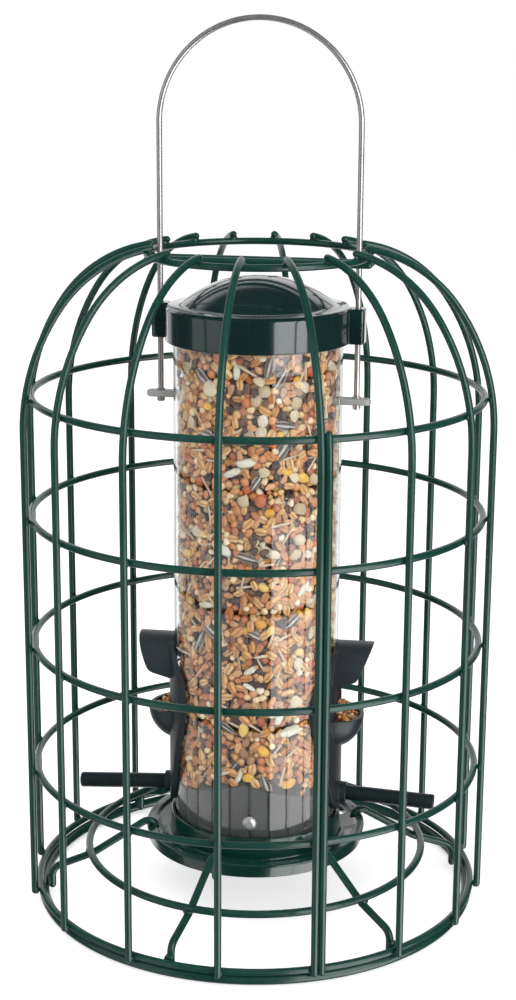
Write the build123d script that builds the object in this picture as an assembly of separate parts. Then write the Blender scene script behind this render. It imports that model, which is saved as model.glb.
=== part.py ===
from build123d import *
import os
from math import asin, atan2, cos, degrees, pi, radians, sin, sqrt, tan

# A hanging seed feeder: a clear tube with two feeding ports stands in a drip tray,
# and a domed wire cage that keeps squirrels off slides up the bail handle.
# Millimetres, +Z up, the handle's legs on the X axis and the ports near it, the base
# ring standing on Z = 0.

# General clearances
cut_overrun = 2.0
weld_bite = 0.05
snug_gap = 0.1
slide_gap = 0.4
rest_gap = 0.3
socket_gap = 0.3
half_turn = 180.0

# Wire sections are hexagons, the handle's an octagon, with the area of the round wire
wire_sides = 6
handle_sides = 8
ring_sides_per_rib = 3

# Drip tray
tray_floor_height = 25.2
tray_wall = 1.7
tray_hub_wall = 1.2
tray_hub_height = 9.8
tray_hub_draft_width = 0.7
tray_width = 10.8
tray_lip_rise = 3.2
tray_lip_depth = 5.6
tray_lip_edge_width = 1.3
tray_lip_taper_width = 0.8
tray_dish_depth = 1.6
hook_hole_inset_width = 3.5
hook_hole_gap = 0.2
drain_count = 6
drain_turn = 31.0
drain_length = 7.0
drain_width = 2.8
drain_offset_width = 3.7

# Clear tube
tube_radius = 34.2
tube_wall = 1.0
tube_height = 222.5

# Fluted base plug, its rivets and its screw
plug_height = 32.4
plug_wall = 2.0
plug_top_slope = 17.5
flute_count = 26
flute_depth = 0.7
flute_half_width = 1.1
rivet_rise = 16.4
rivet_turn = 97.0
rivet_head_radius = 2.9
rivet_head_height = 1.7
rivet_shank_radius = 1.5
rivet_length = 5.4
rivet_dome_shares = ((1.0, 0.5), (0.5, 0.88), (0.0, 1.0))
screw_head_radius = 4.0
screw_head_height = 2.2
screw_head_edge_width = 0.7
screw_shank_radius = 1.7
screw_length = 14.0
screw_slot_width = 1.0
screw_slot_depth = 0.9
boss_wall = 2.2

# Port moulding: saddle plate, arched hood, hollow cup, perch socket
port_turn = 2.6
plate_thickness = 2.0
plate_half_width = 23.2
plate_gap_height = 2.0
plate_drop_height = 1.3
plate_outline_shares = (
    (1.0, 0.0),
    (0.97, 0.47),
    (0.9, 0.74),
    (0.79, 0.95),
    (0.66, 1.0),
    (0.49, 0.89),
    (0.31, 0.74),
    (0.155, 0.6),
    (0.04, 0.38),
    (0.0, 0.0),
)
hood_radius = 13.5
hood_wall = 1.8
hood_length = 13.0
hood_slant_length = 5.8
hood_side_height = 0.4
hood_side_fall_height = 2.6
hood_corner_radius = 4.5
mouth_height = 18.2
cup_radius = 14.2
cup_wall = 1.7
cup_rise = 41.7
cup_inset_width = 4.9
cup_centre_depth = 0.2
cup_rim_slope = 5.0
window_half_width = 9.0
window_drop_height = 7.7
window_lift_height = 5.1
window_corner_radius = 4.0
collar_wall = 1.3

# Perches
perch_radius = 3.2
perch_length = 39.7
perch_rise = 6.4
perch_droop = 3.0
perch_edge_width = 0.5
perch_seat_gap = 0.3
perch_boss_wall = 1.3
perch_boss_length = 2.4

# Lid
lid_overhang_width = 3.1
lid_height = 14.1
lid_wall = 1.7
lid_edge_width = 0.9
lid_rim_width = 3.8
lid_step_height = 0.8
dome_inset_width = 6.4
dome_height = 11.8
dome_blend_radius = 3.0
centring_rib_count = 12
centring_rib_width = 1.2
centring_rib_height = 9.0
ear_margin_width = 3.0
ear_width = 8.0
ear_corner_radius = 1.2

# Hanger bar and handle
handle_diameter = 2.3
handle_gap = 2.9
handle_rise = 50.5
bar_drop_height = 35.5
bar_width = 5.0
bar_thickness = 2.6
bar_end_length = 5.8
bar_edge_width = 0.5
head_radius = 1.6
head_height = 2.0
head_edge_width = 0.5
collar_radius = 1.7
collar_height = 0.8

# Cage ribs: straight sides, then a dome of two tangent arcs that ends on the top ring
rib_count = 16
rib_diameter = 2.8
rib_radius = 95.0
rib_turn = 2.5
rib_foot_height = 4.4
lower_arc_radius = 85.0
lower_arc_turn = 36.0
rib_end_turn = 82.5
seam_rib = 13
seam_gap = 0.1
seam_overhang_length = 2.5

# Cage rings and the two bars that guide the handle
ring_diameter = 2.8
ring_height_shares = (0.2905, 0.5548, 0.8205, 1.0635)
top_ring_turn = 80.5
top_ring_gap = 1.2
head_room_height = 4.1
guide_bar_spacing = 7.2
guide_bar_overhang_length = 2.0

# Base frame
base_diameter = 4.4
cage_gap = 0.5
spoke_diameter = 3.0
spoke_count = 6
spoke_turn = 19.0
spoke_foot_height = 1.6
spoke_shoulder_height = 11.0
saddle_reach_share = 0.568
saddle_depth = 11.8
hook_depth = 8.8
hook_bend_radius = 2.2
hook_slope_bend_radius = 3.0
saddle_bend_radius = 15.0
foot_bend_radius = 5.0

# Seed
seed_rim_gap = 4.7
cup_heap_height = 4.0
cup_heap_length = 8.6


def corner_of(diameter, sides=wire_sides):
    """Corner radius of the polygon that has the area of a round wire."""
    return diameter / 2 * sqrt(2 * pi / (sides * sin(2 * pi / sides)))


def flat_of(diameter, sides=wire_sides):
    """Distance from that polygon's middle to its flats."""
    return corner_of(diameter, sides) * cos(pi / sides)


# Places up the feeder that follow from the sizes above
tube_bore = tube_radius - tube_wall
tube_top = tray_floor_height + tube_height
plug_radius = tube_bore - snug_gap
plug_top = tray_floor_height + plug_height
hub_bore = tube_radius + socket_gap
hub_radius = hub_bore + tray_hub_wall
tray_radius = hub_radius + tray_width
tray_lip_top = tray_floor_height + tray_lip_rise
hook_circle_radius = tray_radius - hook_hole_inset_width
rivet_height = tray_floor_height + rivet_rise
plate_foot = tray_floor_height + tray_hub_height + plate_gap_height
plate_bore = tube_radius + snug_gap
plate_radius = plate_bore + plate_thickness
cup_rim_height = plate_foot + cup_rise
cup_centre_reach = plate_radius - cup_inset_width
cup_centre_height = cup_rim_height - cup_centre_depth
hood_spring_height = cup_rim_height + mouth_height
hood_crown = hood_spring_height + hood_radius
plate_height = hood_crown - plate_drop_height - plate_foot
plate_middle = plate_foot + plate_height / 2
plate_span = plate_height + 2 * cut_overrun
window_foot = cup_rim_height - window_drop_height
window_height = hood_spring_height + window_lift_height - window_foot
collar_bore = tube_bore + snug_gap
perch_height = plate_foot + perch_rise
perch_seat = plate_radius + perch_seat_gap
seed_top = tube_top - seed_rim_gap
lid_radius = tube_radius + lid_overhang_width
lid_inner_top = tube_top + rest_gap
lid_top = lid_inner_top + lid_wall
lid_foot = lid_top - lid_height
lid_bore = lid_radius - lid_wall
dome_top = lid_top + dome_height
handle_half_span = lid_radius + handle_gap
bar_height = tube_top - bar_drop_height
bar_foot = bar_height - bar_thickness / 2

# Places on the cage and the base frame that follow from the feeder
rib_corner = corner_of(rib_diameter)
ring_corner = corner_of(ring_diameter)
ring_flat = flat_of(ring_diameter)
base_corner = corner_of(base_diameter)
base_flat = flat_of(base_diameter)
spoke_corner = corner_of(spoke_diameter)
ring_radius = rib_radius - rib_corner - ring_corner + weld_bite
base_ring_radius = rib_radius - rib_corner - cage_gap - base_corner
bottom_ring_height = 2 * base_flat + rest_gap + ring_flat
guide_bar_height = dome_top + head_room_height + ring_corner
top_ring_height = guide_bar_height + ring_corner + ring_flat - weld_bite
top_ring_reach = handle_half_span + corner_of(handle_diameter, handle_sides)
top_ring_radius = top_ring_reach + top_ring_gap + ring_corner
rib_to_top_ring = rib_corner + ring_flat - weld_bite
lower_cos = cos(radians(lower_arc_turn))
top_cos = cos(radians(top_ring_turn))
dome_reach = rib_radius - lower_arc_radius * (1 - lower_cos) - top_ring_radius
upper_arc_radius = (dome_reach - rib_to_top_ring * top_cos) / (lower_cos - top_cos)
arc_step = lower_arc_radius - upper_arc_radius
top_ring_arc = upper_arc_radius - rib_to_top_ring
arc_step_rise = arc_step * sin(radians(lower_arc_turn))
dome_rise = arc_step_rise + top_ring_arc * sin(radians(top_ring_turn))
dome_start = top_ring_height - dome_rise
lower_centre = (rib_radius - lower_arc_radius, dome_start)
upper_centre = (lower_centre[0] + arc_step * lower_cos, dome_start + arc_step_rise)
handle_straight_height = top_ring_height + handle_rise


def ring(radius, height, diameter):
    """Closed wire ring lying flat at one height, with corners behind every rib."""
    corner = corner_of(diameter)
    flat = flat_of(diameter)
    levels = ((-flat, corner / 2), (0, corner), (flat, corner / 2))
    sides = ring_sides_per_rib * rib_count
    around_rim = {"side_count": sides, "rotation": rib_turn}
    outer = [
        Pos(0, 0, height + rise) * RegularPolygon(radius + reach, **around_rim)
        for rise, reach in levels
    ]
    inner = [
        Pos(0, 0, height + rise) * RegularPolygon(radius - reach, **around_rim)
        for rise, reach in levels
    ]
    return loft(outer, ruled=True) - loft(inner, ruled=True)


def around(solid, angle):
    """Copy turned about the feeder's upright axis."""
    return Rot(0, 0, angle) * solid


def wire_along(path, diameter, sides=wire_sides):
    """Wire along a path in an upright plane through X, a corner of its section facing out."""
    start = Plane(origin=path @ 0, x_dir=(0, 1, 0), z_dir=path % 0)
    section = RegularPolygon(corner_of(diameter, sides), sides, rotation=half_turn / 2)
    return sweep(start * section, path=path)


def arc_point(centre, radius, turn):
    """Point of a dome arc in the plane of a rib, at an angle above level."""
    x = centre[0] + radius * cos(radians(turn))
    return (x, 0, centre[1] + radius * sin(radians(turn)))


def arc_between(centre, radius, start, end):
    """Arc of the dome between two angles."""
    middle = arc_point(centre, radius, (start + end) / 2)
    return ThreePointArc(
        arc_point(centre, radius, start), middle, arc_point(centre, radius, end)
    )


def radius_of_rib_at(height):
    """Distance from the axis to a rib's wire centre, on its side or lower arc."""
    rise = max(height - dome_start, 0)
    return rib_radius - lower_arc_radius + sqrt(lower_arc_radius**2 - rise**2)


def cage_rib():
    """One rib: foot, straight side, two tangent arcs, and a short end on the top ring."""
    side = Line((rib_radius, 0, rib_foot_height), (rib_radius, 0, dome_start))
    lower = arc_between(lower_centre, lower_arc_radius, 0, lower_arc_turn)
    upper = arc_between(upper_centre, upper_arc_radius, lower_arc_turn, rib_end_turn)
    return wire_along(Wire([side, lower, upper]), rib_diameter)


def cage_seam_wire():
    """Second wire beside one rib, where the rolled mesh is closed, up to the last ring."""
    seam_rise = dome_start * (ring_height_shares[-1] - 1) + seam_overhang_length
    seam_turn = degrees(asin(seam_rise / lower_arc_radius))
    side = Line((rib_radius, 0, rib_foot_height), (rib_radius, 0, dome_start))
    lower = arc_between(lower_centre, lower_arc_radius, 0, seam_turn)
    wire = wire_along(Wire([side, lower]), rib_diameter)
    beside = degrees((2 * flat_of(rib_diameter) + seam_gap) / rib_radius)
    return around(wire, rib_turn + seam_rib * 360 / rib_count + beside)


def guide_bar(side):
    """Straight bar under the top ring, on one side of the handle."""
    offset = side * guide_bar_spacing / 2
    half = sqrt(top_ring_radius**2 - offset**2) + guide_bar_overhang_length
    path = Line((-half, offset, guide_bar_height), (half, offset, guide_bar_height))
    return wire_along(path, ring_diameter)


def spoke_corners():
    """Corners of a spoke's path as distance from the axis and height."""
    lip_clear = tray_lip_top + spoke_corner + snug_gap
    foot_reach = base_ring_radius - base_corner - spoke_corner + weld_bite
    over_lip = tray_radius + tray_lip_edge_width / 2
    saddle_reach = over_lip + saddle_reach_share * (foot_reach - over_lip)
    return [
        (hook_circle_radius, tray_lip_top - hook_depth),
        (hook_circle_radius, lip_clear),
        (over_lip, lip_clear),
        (saddle_reach, tray_lip_top - saddle_depth),
        (foot_reach, spoke_shoulder_height),
        (foot_reach, spoke_foot_height),
    ]


def base_spoke():
    """Spoke hooked down through the tray's rim, with its foot welded inside the base ring."""
    corners = [(reach, 0, height) for reach, height in spoke_corners()]
    bends = [
        hook_bend_radius,
        hook_slope_bend_radius,
        saddle_bend_radius,
        foot_bend_radius,
    ]
    return wire_along(FilletPolyline(*corners, radius=bends), spoke_diameter)


def base_mid_ring():
    """Middle ring lying in the saddle where the spokes change slope."""
    corners = spoke_corners()
    lean_in = atan2(corners[2][1] - corners[3][1], corners[3][0] - corners[2][0])
    lean_out = atan2(corners[3][1] - corners[4][1], corners[4][0] - corners[3][0])
    lean = (lean_in + lean_out) / 2
    turn = (lean_in - lean_out) / 2
    corner_cut = saddle_bend_radius * (1 / cos(turn) - 1)
    lift = spoke_corner + flat_of(spoke_diameter) + corner_cut - weld_bite
    radius = corners[3][0] + lift * sin(lean)
    return ring(radius, corners[3][1] + lift * cos(lean), spoke_diameter)


def tray():
    """Round dish with a tapered lip, a socket for the tube, drain slots and hook holes."""
    lip_in = tray_radius - tray_wall
    lip_foot = tray_lip_top - tray_lip_depth
    dish_top = tray_lip_top - tray_lip_edge_width
    dish_in = dish_top - tray_dish_depth
    hub_foot = hub_radius + tray_hub_draft_width
    hub_top = tray_floor_height + tray_hub_height
    under = tray_floor_height - tray_wall
    profile = make_face(
        Polyline(
            (0, under),
            (hub_foot, under),
            (hub_foot, dish_in - tray_wall),
            (lip_in, dish_top - tray_wall),
            (lip_in - tray_lip_taper_width, lip_foot),
            (tray_radius - tray_lip_taper_width, lip_foot),
            (tray_radius, tray_lip_top),
            (lip_in - tray_wall, tray_lip_top),
            (lip_in - tray_wall - tray_lip_edge_width, dish_top),
            (hub_foot, dish_in),
            (hub_radius, hub_top),
            (hub_bore, hub_top),
            (hub_bore, tray_floor_height),
            (0, tray_floor_height),
            (0, under),
        )
    )
    lip_corner = profile.vertices().sort_by(Axis.X)[-1]
    profile = chamfer(lip_corner, tray_lip_edge_width / 2)
    body = revolve(Plane.XZ * profile, Axis.Z)
    depth = tray_lip_top - under + 2 * cut_overrun
    middle = (tray_lip_top + under) / 2
    slot = SlotOverall(drain_length, drain_width, rotation=half_turn / 2)
    drain = Pos(0, 0, middle) * extrude(slot, depth / 2, both=True)
    drains = PolarLocations(hub_radius + drain_offset_width, drain_count, drain_turn)
    hook_radius = spoke_corner + hook_hole_gap
    hook_hole = Pos(0, 0, middle) * Cylinder(hook_radius, depth)
    hooks = PolarLocations(hook_circle_radius, spoke_count, spoke_turn)
    screw_hole = Pos(0, 0, middle) * Cylinder(screw_shank_radius + snug_gap, depth)
    return body - drains * drain - hooks * hook_hole - screw_hole


def upright(radius, foot, height):
    """Round bar on the feeder's axis, from a foot height up."""
    bar = Cylinder(radius, height, align=(Align.CENTER, Align.CENTER, Align.MIN))
    return Pos(0, 0, foot) * bar


def plug_roof(rise):
    """Space below the plug's top, raised a little: a ridge that falls towards the ports."""
    foot = tray_floor_height - 2 * cut_overrun
    ridge = plug_top + rise
    eaves = ridge - tube_radius * tan(radians(plug_top_slope))
    gable = make_face(
        Polyline(
            (-tube_radius, foot),
            (tube_radius, foot),
            (tube_radius, eaves),
            (0, ridge),
            (-tube_radius, eaves),
            (-tube_radius, foot),
        )
    )
    return around(extrude(Plane.XZ * gable, tube_radius, both=True), port_turn)


def base_plug():
    """Fluted cup inside the tube's foot, with a ridge that sheds seed towards the ports."""
    below = tray_floor_height - cut_overrun
    inner = plug_radius - flute_depth - plug_wall
    body = upright(plug_radius, tray_floor_height, plug_height) & plug_roof(0)
    flute = make_face(
        Polyline(
            (plug_radius - flute_depth, 0),
            (plug_radius + flute_depth, -flute_half_width),
            (plug_radius + flute_depth, flute_half_width),
            (plug_radius - flute_depth, 0),
        )
    )
    cutter = Pos(0, 0, below) * extrude(flute, plug_height + 2 * cut_overrun)
    body -= PolarLocations(0, flute_count) * cutter
    hollow = upright(inner, below, plug_height + cut_overrun) & plug_roof(-plug_wall)
    boss = upright(screw_shank_radius + boss_wall, tray_floor_height, plug_height)
    body -= hollow - boss
    body -= upright(screw_shank_radius, below, screw_length + cut_overrun)
    return body - rivet_holes()


def rivet_holes():
    """Drilled line for the two rivets through tube and plug."""
    drill = Cylinder(rivet_shank_radius, 2 * (tube_radius + cut_overrun))
    across = Rot(0, half_turn / 2, 0) * drill
    return around(Pos(0, 0, rivet_height) * across, rivet_turn)


def rivet():
    """Button-headed rivet from the tube's outside into the plug's wall, on the X axis."""
    head = [
        (rivet_head_height * out, rivet_head_radius * across)
        for out, across in rivet_dome_shares
    ]
    profile = make_face(
        Polyline(
            (-rivet_length, 0),
            (rivet_head_height, 0),
            *head,
            (0, rivet_shank_radius),
            (-rivet_length, rivet_shank_radius),
            (-rivet_length, 0),
        )
    )
    return Pos(tube_radius + snug_gap, 0, rivet_height) * revolve(profile, Axis.X)


def base_screw():
    """Pan-head screw up through the tray's floor into the plug's boss."""
    under = tray_floor_height - tray_wall
    head_foot = under - screw_head_height
    head = upright(screw_head_radius, head_foot, screw_head_height)
    head = chamfer(head.edges().group_by(Axis.Z)[0], screw_head_edge_width)
    slot = Pos(0, 0, head_foot) * Box(
        2 * screw_head_radius + cut_overrun, screw_slot_width, 2 * screw_slot_depth
    )
    return head - slot + upright(screw_shank_radius - snug_gap, under, screw_length)


def window(half_width, foot, height, corner, near, far):
    """Rounded block along X that cuts or fills a feeding port."""
    face = Pos(0, foot + height / 2) * RectangleRounded(2 * half_width, height, corner)
    return Pos(near, 0, 0) * extrude(Plane.YZ * face, far - near, dir=(1, 0, 0))


def port_window(grow, near, far):
    """The feeding port, widened all round by one amount."""
    return window(
        window_half_width + grow,
        window_foot - grow,
        window_height + 2 * grow,
        window_corner_radius + grow,
        near,
        far,
    )


def bar_slot(reach):
    """Slot that the hanger bar passes."""
    width = bar_width + 2 * snug_gap
    return Pos(0, 0, bar_height) * Box(2 * reach, width, bar_thickness + 2 * snug_gap)


def tube():
    """Clear tube with two feeding ports, a slot for the hanger bar and rivet holes."""
    outer = upright(tube_radius, tray_floor_height, tube_height)
    below = tray_floor_height - cut_overrun
    bore = upright(tube_bore, below, tube_height + 2 * cut_overrun)
    reach = tube_radius + cut_overrun
    ports = around(port_window(collar_wall + snug_gap, -reach, reach), port_turn)
    body = outer - bore - ports
    return body - bar_slot(reach) - rivet_holes()


def round_plate(radius):
    """Round bar as high as the saddle plate and a little more."""
    return Pos(0, 0, plate_middle) * Cylinder(radius, plate_span)


def saddle_plate():
    """Leaf-shaped plate that wraps the tube round a port."""
    side = [
        (plate_half_width * across, plate_foot + plate_height * up)
        for up, across in plate_outline_shares
    ]
    back = [(-across, up) for across, up in reversed(side)]
    outline = Plane.YZ * make_face([Spline(*side), Spline(*back)])
    block = extrude(outline, plate_radius + cut_overrun, dir=(1, 0, 0))
    return block & (round_plate(plate_radius) - round_plate(plate_bore))


def arch(radius, foot, reach):
    """Half-round arch with upright sides down to a foot, run out along X."""
    face = make_face(
        [
            Line((-radius, foot), (radius, foot)),
            Line((radius, foot), (radius, hood_spring_height)),
            ThreePointArc(
                (radius, hood_spring_height),
                (0, hood_spring_height + radius),
                (-radius, hood_spring_height),
            ),
            Line((-radius, hood_spring_height), (-radius, foot)),
        ]
    )
    return extrude(Plane.YZ * face, reach, dir=(1, 0, 0))


def hood():
    """Arched rain hood: its mouth slants back and its sides fall towards the plate."""
    hood_reach = plate_radius + hood_length
    mouth_foot = hood_spring_height + hood_side_height
    back_foot = mouth_foot - hood_side_fall_height
    deep_foot = back_foot - cut_overrun
    shell = arch(hood_radius, deep_foot, hood_reach + cut_overrun)
    inside = arch(hood_radius - hood_wall, deep_foot - cut_overrun, hood_reach + 2 * cut_overrun)
    side = make_face(
        Polyline(
            (0, back_foot),
            (plate_bore, back_foot),
            (hood_reach - hood_slant_length, mouth_foot),
            (hood_reach, hood_crown),
            (0, hood_crown),
            (0, back_foot),
        )
    )
    lower_corner = side.vertices().sort_by_distance((hood_reach, mouth_foot))[0]
    side = fillet(lower_corner, hood_corner_radius)
    keep = extrude(Plane.XZ * side, hood_radius + cut_overrun, both=True)
    return (shell - inside) & keep


def bowl(radius):
    """Round-bottomed bar that the cup and its seed are cut from."""
    bar = Sphere(radius) + upright(radius, 0, cup_radius)
    return Pos(cup_centre_reach, 0, cup_centre_height) * bar


def above_rim(reach, slope):
    """Space above a slope that rises towards the plate from the cup's tip."""
    level = 2 * cup_radius
    above = Box(
        2 * level, 2 * level, level, align=(Align.CENTER, Align.CENTER, Align.MIN)
    )
    return Pos(reach, 0, cup_rim_height) * Rot(0, slope, 0) * above


def cup():
    """Hollow seed cup, its rim rising from the tip towards the plate."""
    shell = bowl(cup_radius) - bowl(cup_radius - cup_wall)
    return shell - above_rim(cup_centre_reach + cup_radius, cup_rim_slope)


def along_perch(radius, near, far):
    """Round bar on the drooping perch line, between two distances from the axis."""
    bar = Cylinder(radius, far - near, align=(Align.CENTER, Align.CENTER, Align.MIN))
    line = Pos(plate_radius, 0, perch_height) * Rot(0, half_turn / 2 + perch_droop, 0)
    return line * Pos(0, 0, near - plate_radius) * bar


def port():
    """Port moulding on +X: plate, hood, cup, perch socket and the collar in the tube."""
    collar_ring = round_plate(plate_bore + plate_thickness / 2) - round_plate(collar_bore)
    body = saddle_plate() + (port_window(collar_wall, 0, plate_radius) & collar_ring)
    body -= port_window(0, 0, plate_radius + cut_overrun)
    boss_end = plate_radius + perch_boss_length
    boss = along_perch(perch_radius + perch_boss_wall, plate_bore, boss_end)
    tube_space = round_plate(plate_bore)
    body += [hood() - tube_space, cup() - tube_space, boss - tube_space]
    far = plate_radius + perch_length
    return body - along_perch(perch_radius + snug_gap / 2, perch_seat, far)


def perch():
    """Round perch rod seated in the port's socket on +X."""
    rod = along_perch(perch_radius, perch_seat, plate_radius + perch_length)
    return chamfer(rod.edges().group_by(Axis.X)[-1], perch_edge_width)


def hanger_bar():
    """Flat bar through the tube, with a hole at each end for the handle."""
    face = SlotOverall(2 * (handle_half_span + bar_end_length), bar_width)
    body = Pos(0, 0, bar_foot) * extrude(face, bar_thickness)
    body = chamfer(body.faces().filter_by(Axis.Z).edges(), bar_edge_width)
    drill = Pos(0, 0, bar_height) * Cylinder(
        handle_diameter / 2 + snug_gap, bar_thickness + 2 * cut_overrun
    )
    return body - GridLocations(2 * handle_half_span, 0, 2, 1) * drill


def handle():
    """Bail handle: two legs, a round arch, and upset heads under the hanger bar."""
    half = handle_half_span
    left = Line((-half, 0, bar_foot), (-half, 0, handle_straight_height))
    crown = (0, 0, handle_straight_height + half)
    bend = ThreePointArc(left @ 1, crown, (half, 0, handle_straight_height))
    right = Line(bend @ 1, (half, 0, bar_foot))
    body = wire_along(Wire([left, bend, right]), handle_diameter, handle_sides)
    head = upright(head_radius, -head_height, head_height)
    head = chamfer(head.edges().group_by(Axis.Z)[0], head_edge_width)
    collar = upright(collar_radius, bar_thickness, collar_height)
    for side in (-1, 1):
        body += Pos(side * half, 0, bar_foot) * (head + collar)
    return body


def dome_arc(radius, foot, top):
    """Arc of a dome from its foot to its top, and the round it belongs to."""
    rise = top - foot
    round_radius = (radius**2 + rise**2) / (2 * rise)
    return RadiusArc((radius, foot), (0, top), -round_radius)


def lid_shell():
    """Cap with an upright skirt, a rim and a dome that flows out of the rim."""
    rim_in = lid_radius - lid_rim_width
    dome_radius = lid_radius - dome_inset_width
    dome_foot = lid_top + lid_step_height
    inner_radius = dome_radius - lid_wall
    outer = make_face(
        [
            Line((0, lid_foot), (lid_radius, lid_foot)),
            Line((lid_radius, lid_foot), (lid_radius, lid_top)),
            Line((lid_radius, lid_top), (rim_in, lid_top)),
            Line((rim_in, lid_top), (dome_radius, dome_foot)),
            dome_arc(dome_radius, dome_foot, dome_top),
            Line((0, dome_top), (0, lid_foot)),
        ]
    )
    inner = make_face(
        [
            Line((0, lid_foot - cut_overrun), (lid_bore, lid_foot - cut_overrun)),
            Line((lid_bore, lid_foot - cut_overrun), (lid_bore, lid_inner_top)),
            Line((lid_bore, lid_inner_top), (inner_radius, lid_inner_top)),
            dome_arc(inner_radius, lid_inner_top, dome_top - lid_wall),
            Line((0, dome_top - lid_wall), (0, lid_foot - cut_overrun)),
        ]
    )
    blend = outer.vertices().sort_by_distance((dome_radius, dome_foot))[0]
    outer = fillet(blend, dome_blend_radius)
    rim_corner = outer.vertices().sort_by_distance((lid_radius, lid_top))[0]
    outer = chamfer(rim_corner, lid_edge_width)
    return revolve(Plane.XZ * (outer - inner), Axis.Z)


def lid():
    """Lid with its ears, centring ribs and the holes that the handle's legs pass."""
    ear_reach = handle_half_span + ear_margin_width
    block = RectangleRounded(2 * (ear_reach - lid_bore), ear_width, ear_corner_radius)
    ear = Pos(lid_bore, 0, lid_foot) * extrude(block, lid_height)
    ear -= upright(lid_bore, lid_foot, lid_height)
    nib_gap = tube_radius + slide_gap
    nib = Pos(nib_gap, 0, lid_inner_top) * Box(
        lid_bore + lid_wall / 2 - nib_gap,
        centring_rib_width,
        centring_rib_height,
        align=(Align.MIN, Align.CENTER, Align.MAX),
    )
    body = lid_shell() + PolarLocations(0, 2) * ear
    body += PolarLocations(0, centring_rib_count, half_turn / centring_rib_count) * nib
    drill = Pos(0, 0, lid_foot + lid_height / 2) * Cylinder(
        handle_diameter / 2 + slide_gap, lid_height + 2 * cut_overrun
    )
    return body - GridLocations(2 * handle_half_span, 0, 2, 1) * drill


def seed_fill():
    """Seed that fills the tube from the plug's top to under the lid."""
    body = upright(tube_bore - snug_gap, tray_floor_height, seed_top - tray_floor_height)
    return body - plug_roof(snug_gap) - bar_slot(tube_radius)


def seed_in_cup():
    """Seed heaped in the cup on +X and running back through the port."""
    radius = cup_radius - cup_wall - snug_gap
    slope = degrees(atan2(cup_heap_height, cup_heap_length))
    heap = bowl(radius) - above_rim(cup_centre_reach + radius, slope)
    neck = window(
        window_half_width - snug_gap,
        window_foot + snug_gap,
        window_drop_height + cup_heap_height / 2,
        window_corner_radius - snug_gap,
        collar_bore,
        plate_radius + 2 * snug_gap,
    )
    in_cup = heap - round_plate(plate_radius + snug_gap)
    in_port = (neck & bowl(radius)) - round_plate(collar_bore)
    return in_cup + in_port


def all_nodes():
    """Every piece by name."""
    nodes = {}
    for index in range(rib_count):
        angle = rib_turn + index * 360 / rib_count
        nodes[f"cage_rib_{index + 1:02d}"] = around(cage_rib(), angle)
    nodes["cage_seam_wire"] = cage_seam_wire()
    nodes["cage_bottom_ring"] = ring(ring_radius, bottom_ring_height, ring_diameter)
    for index, share in enumerate(ring_height_shares):
        height = dome_start * share
        radius = radius_of_rib_at(height) - rib_corner - ring_corner + weld_bite
        nodes[f"cage_ring_{index + 1}"] = ring(radius, height, ring_diameter)
    nodes["cage_top_ring"] = ring(top_ring_radius, top_ring_height, ring_diameter)
    nodes["cage_guide_bar_front"] = guide_bar(-1)
    nodes["cage_guide_bar_back"] = guide_bar(1)
    nodes["base_ring"] = ring(base_ring_radius, base_flat, base_diameter)
    nodes["base_mid_ring"] = base_mid_ring()
    for index in range(spoke_count):
        angle = spoke_turn + index * 360 / spoke_count
        nodes[f"base_spoke_{index + 1}"] = around(base_spoke(), angle)
    nodes["drip_tray"] = tray()
    nodes["base_plug"] = base_plug()
    nodes["base_screw"] = base_screw()
    nodes["rivet_front"] = around(rivet(), rivet_turn + half_turn)
    nodes["rivet_back"] = around(rivet(), rivet_turn)
    nodes["seed_tube"] = tube()
    nodes["port_right"] = around(port(), port_turn)
    nodes["port_left"] = around(port(), port_turn + half_turn)
    nodes["perch_right"] = around(perch(), port_turn)
    nodes["perch_left"] = around(perch(), port_turn + half_turn)
    nodes["hanger_bar"] = hanger_bar()
    nodes["handle"] = handle()
    nodes["lid"] = lid()
    nodes["seed_fill"] = seed_fill()
    nodes["seed_in_cup_right"] = around(seed_in_cup(), port_turn)
    nodes["seed_in_cup_left"] = around(seed_in_cup(), port_turn + half_turn)
    return nodes


os.makedirs("parts", exist_ok=True)
for name, solid in all_nodes().items():
    export_step(solid, f"parts/{name}.step")
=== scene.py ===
import logging
import math
from dataclasses import dataclass
from enum import Enum
from random import Random
from typing import Iterable, Sequence

import bmesh
import bpy
import numpy as np
from mathutils import Matrix, Vector
from mathutils.kdtree import KDTree


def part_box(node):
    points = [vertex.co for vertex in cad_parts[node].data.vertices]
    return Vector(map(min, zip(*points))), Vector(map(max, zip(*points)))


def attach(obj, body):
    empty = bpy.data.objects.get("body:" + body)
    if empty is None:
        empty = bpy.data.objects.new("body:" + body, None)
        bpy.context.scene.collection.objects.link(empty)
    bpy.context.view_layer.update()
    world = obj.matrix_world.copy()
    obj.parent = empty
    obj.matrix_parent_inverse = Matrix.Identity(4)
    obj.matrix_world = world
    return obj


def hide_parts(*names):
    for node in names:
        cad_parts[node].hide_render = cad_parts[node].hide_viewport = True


# Looks of a hanging seed feeder: a clear tube of seed in a drip tray, inside a domed
# cage of green coated wire. Metres in the scene; sizes are written in millimetres.

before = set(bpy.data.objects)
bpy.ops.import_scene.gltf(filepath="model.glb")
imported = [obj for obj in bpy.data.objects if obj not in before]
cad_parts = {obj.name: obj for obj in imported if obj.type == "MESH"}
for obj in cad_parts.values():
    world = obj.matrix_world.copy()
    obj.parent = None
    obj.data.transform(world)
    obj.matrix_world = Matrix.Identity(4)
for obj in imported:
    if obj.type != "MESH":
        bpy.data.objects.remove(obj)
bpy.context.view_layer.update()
LOG = logging.getLogger("feeder")
MM = 0.001
WIRE_SIDES = 18
RING_SPANS = 120

Triple = tuple[float, float, float]
Colour = Triple
Point2 = tuple[float, float]
Socket = bpy.types.NodeSocket
Node = bpy.types.Node
Feeds = dict[str | int, object]


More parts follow.
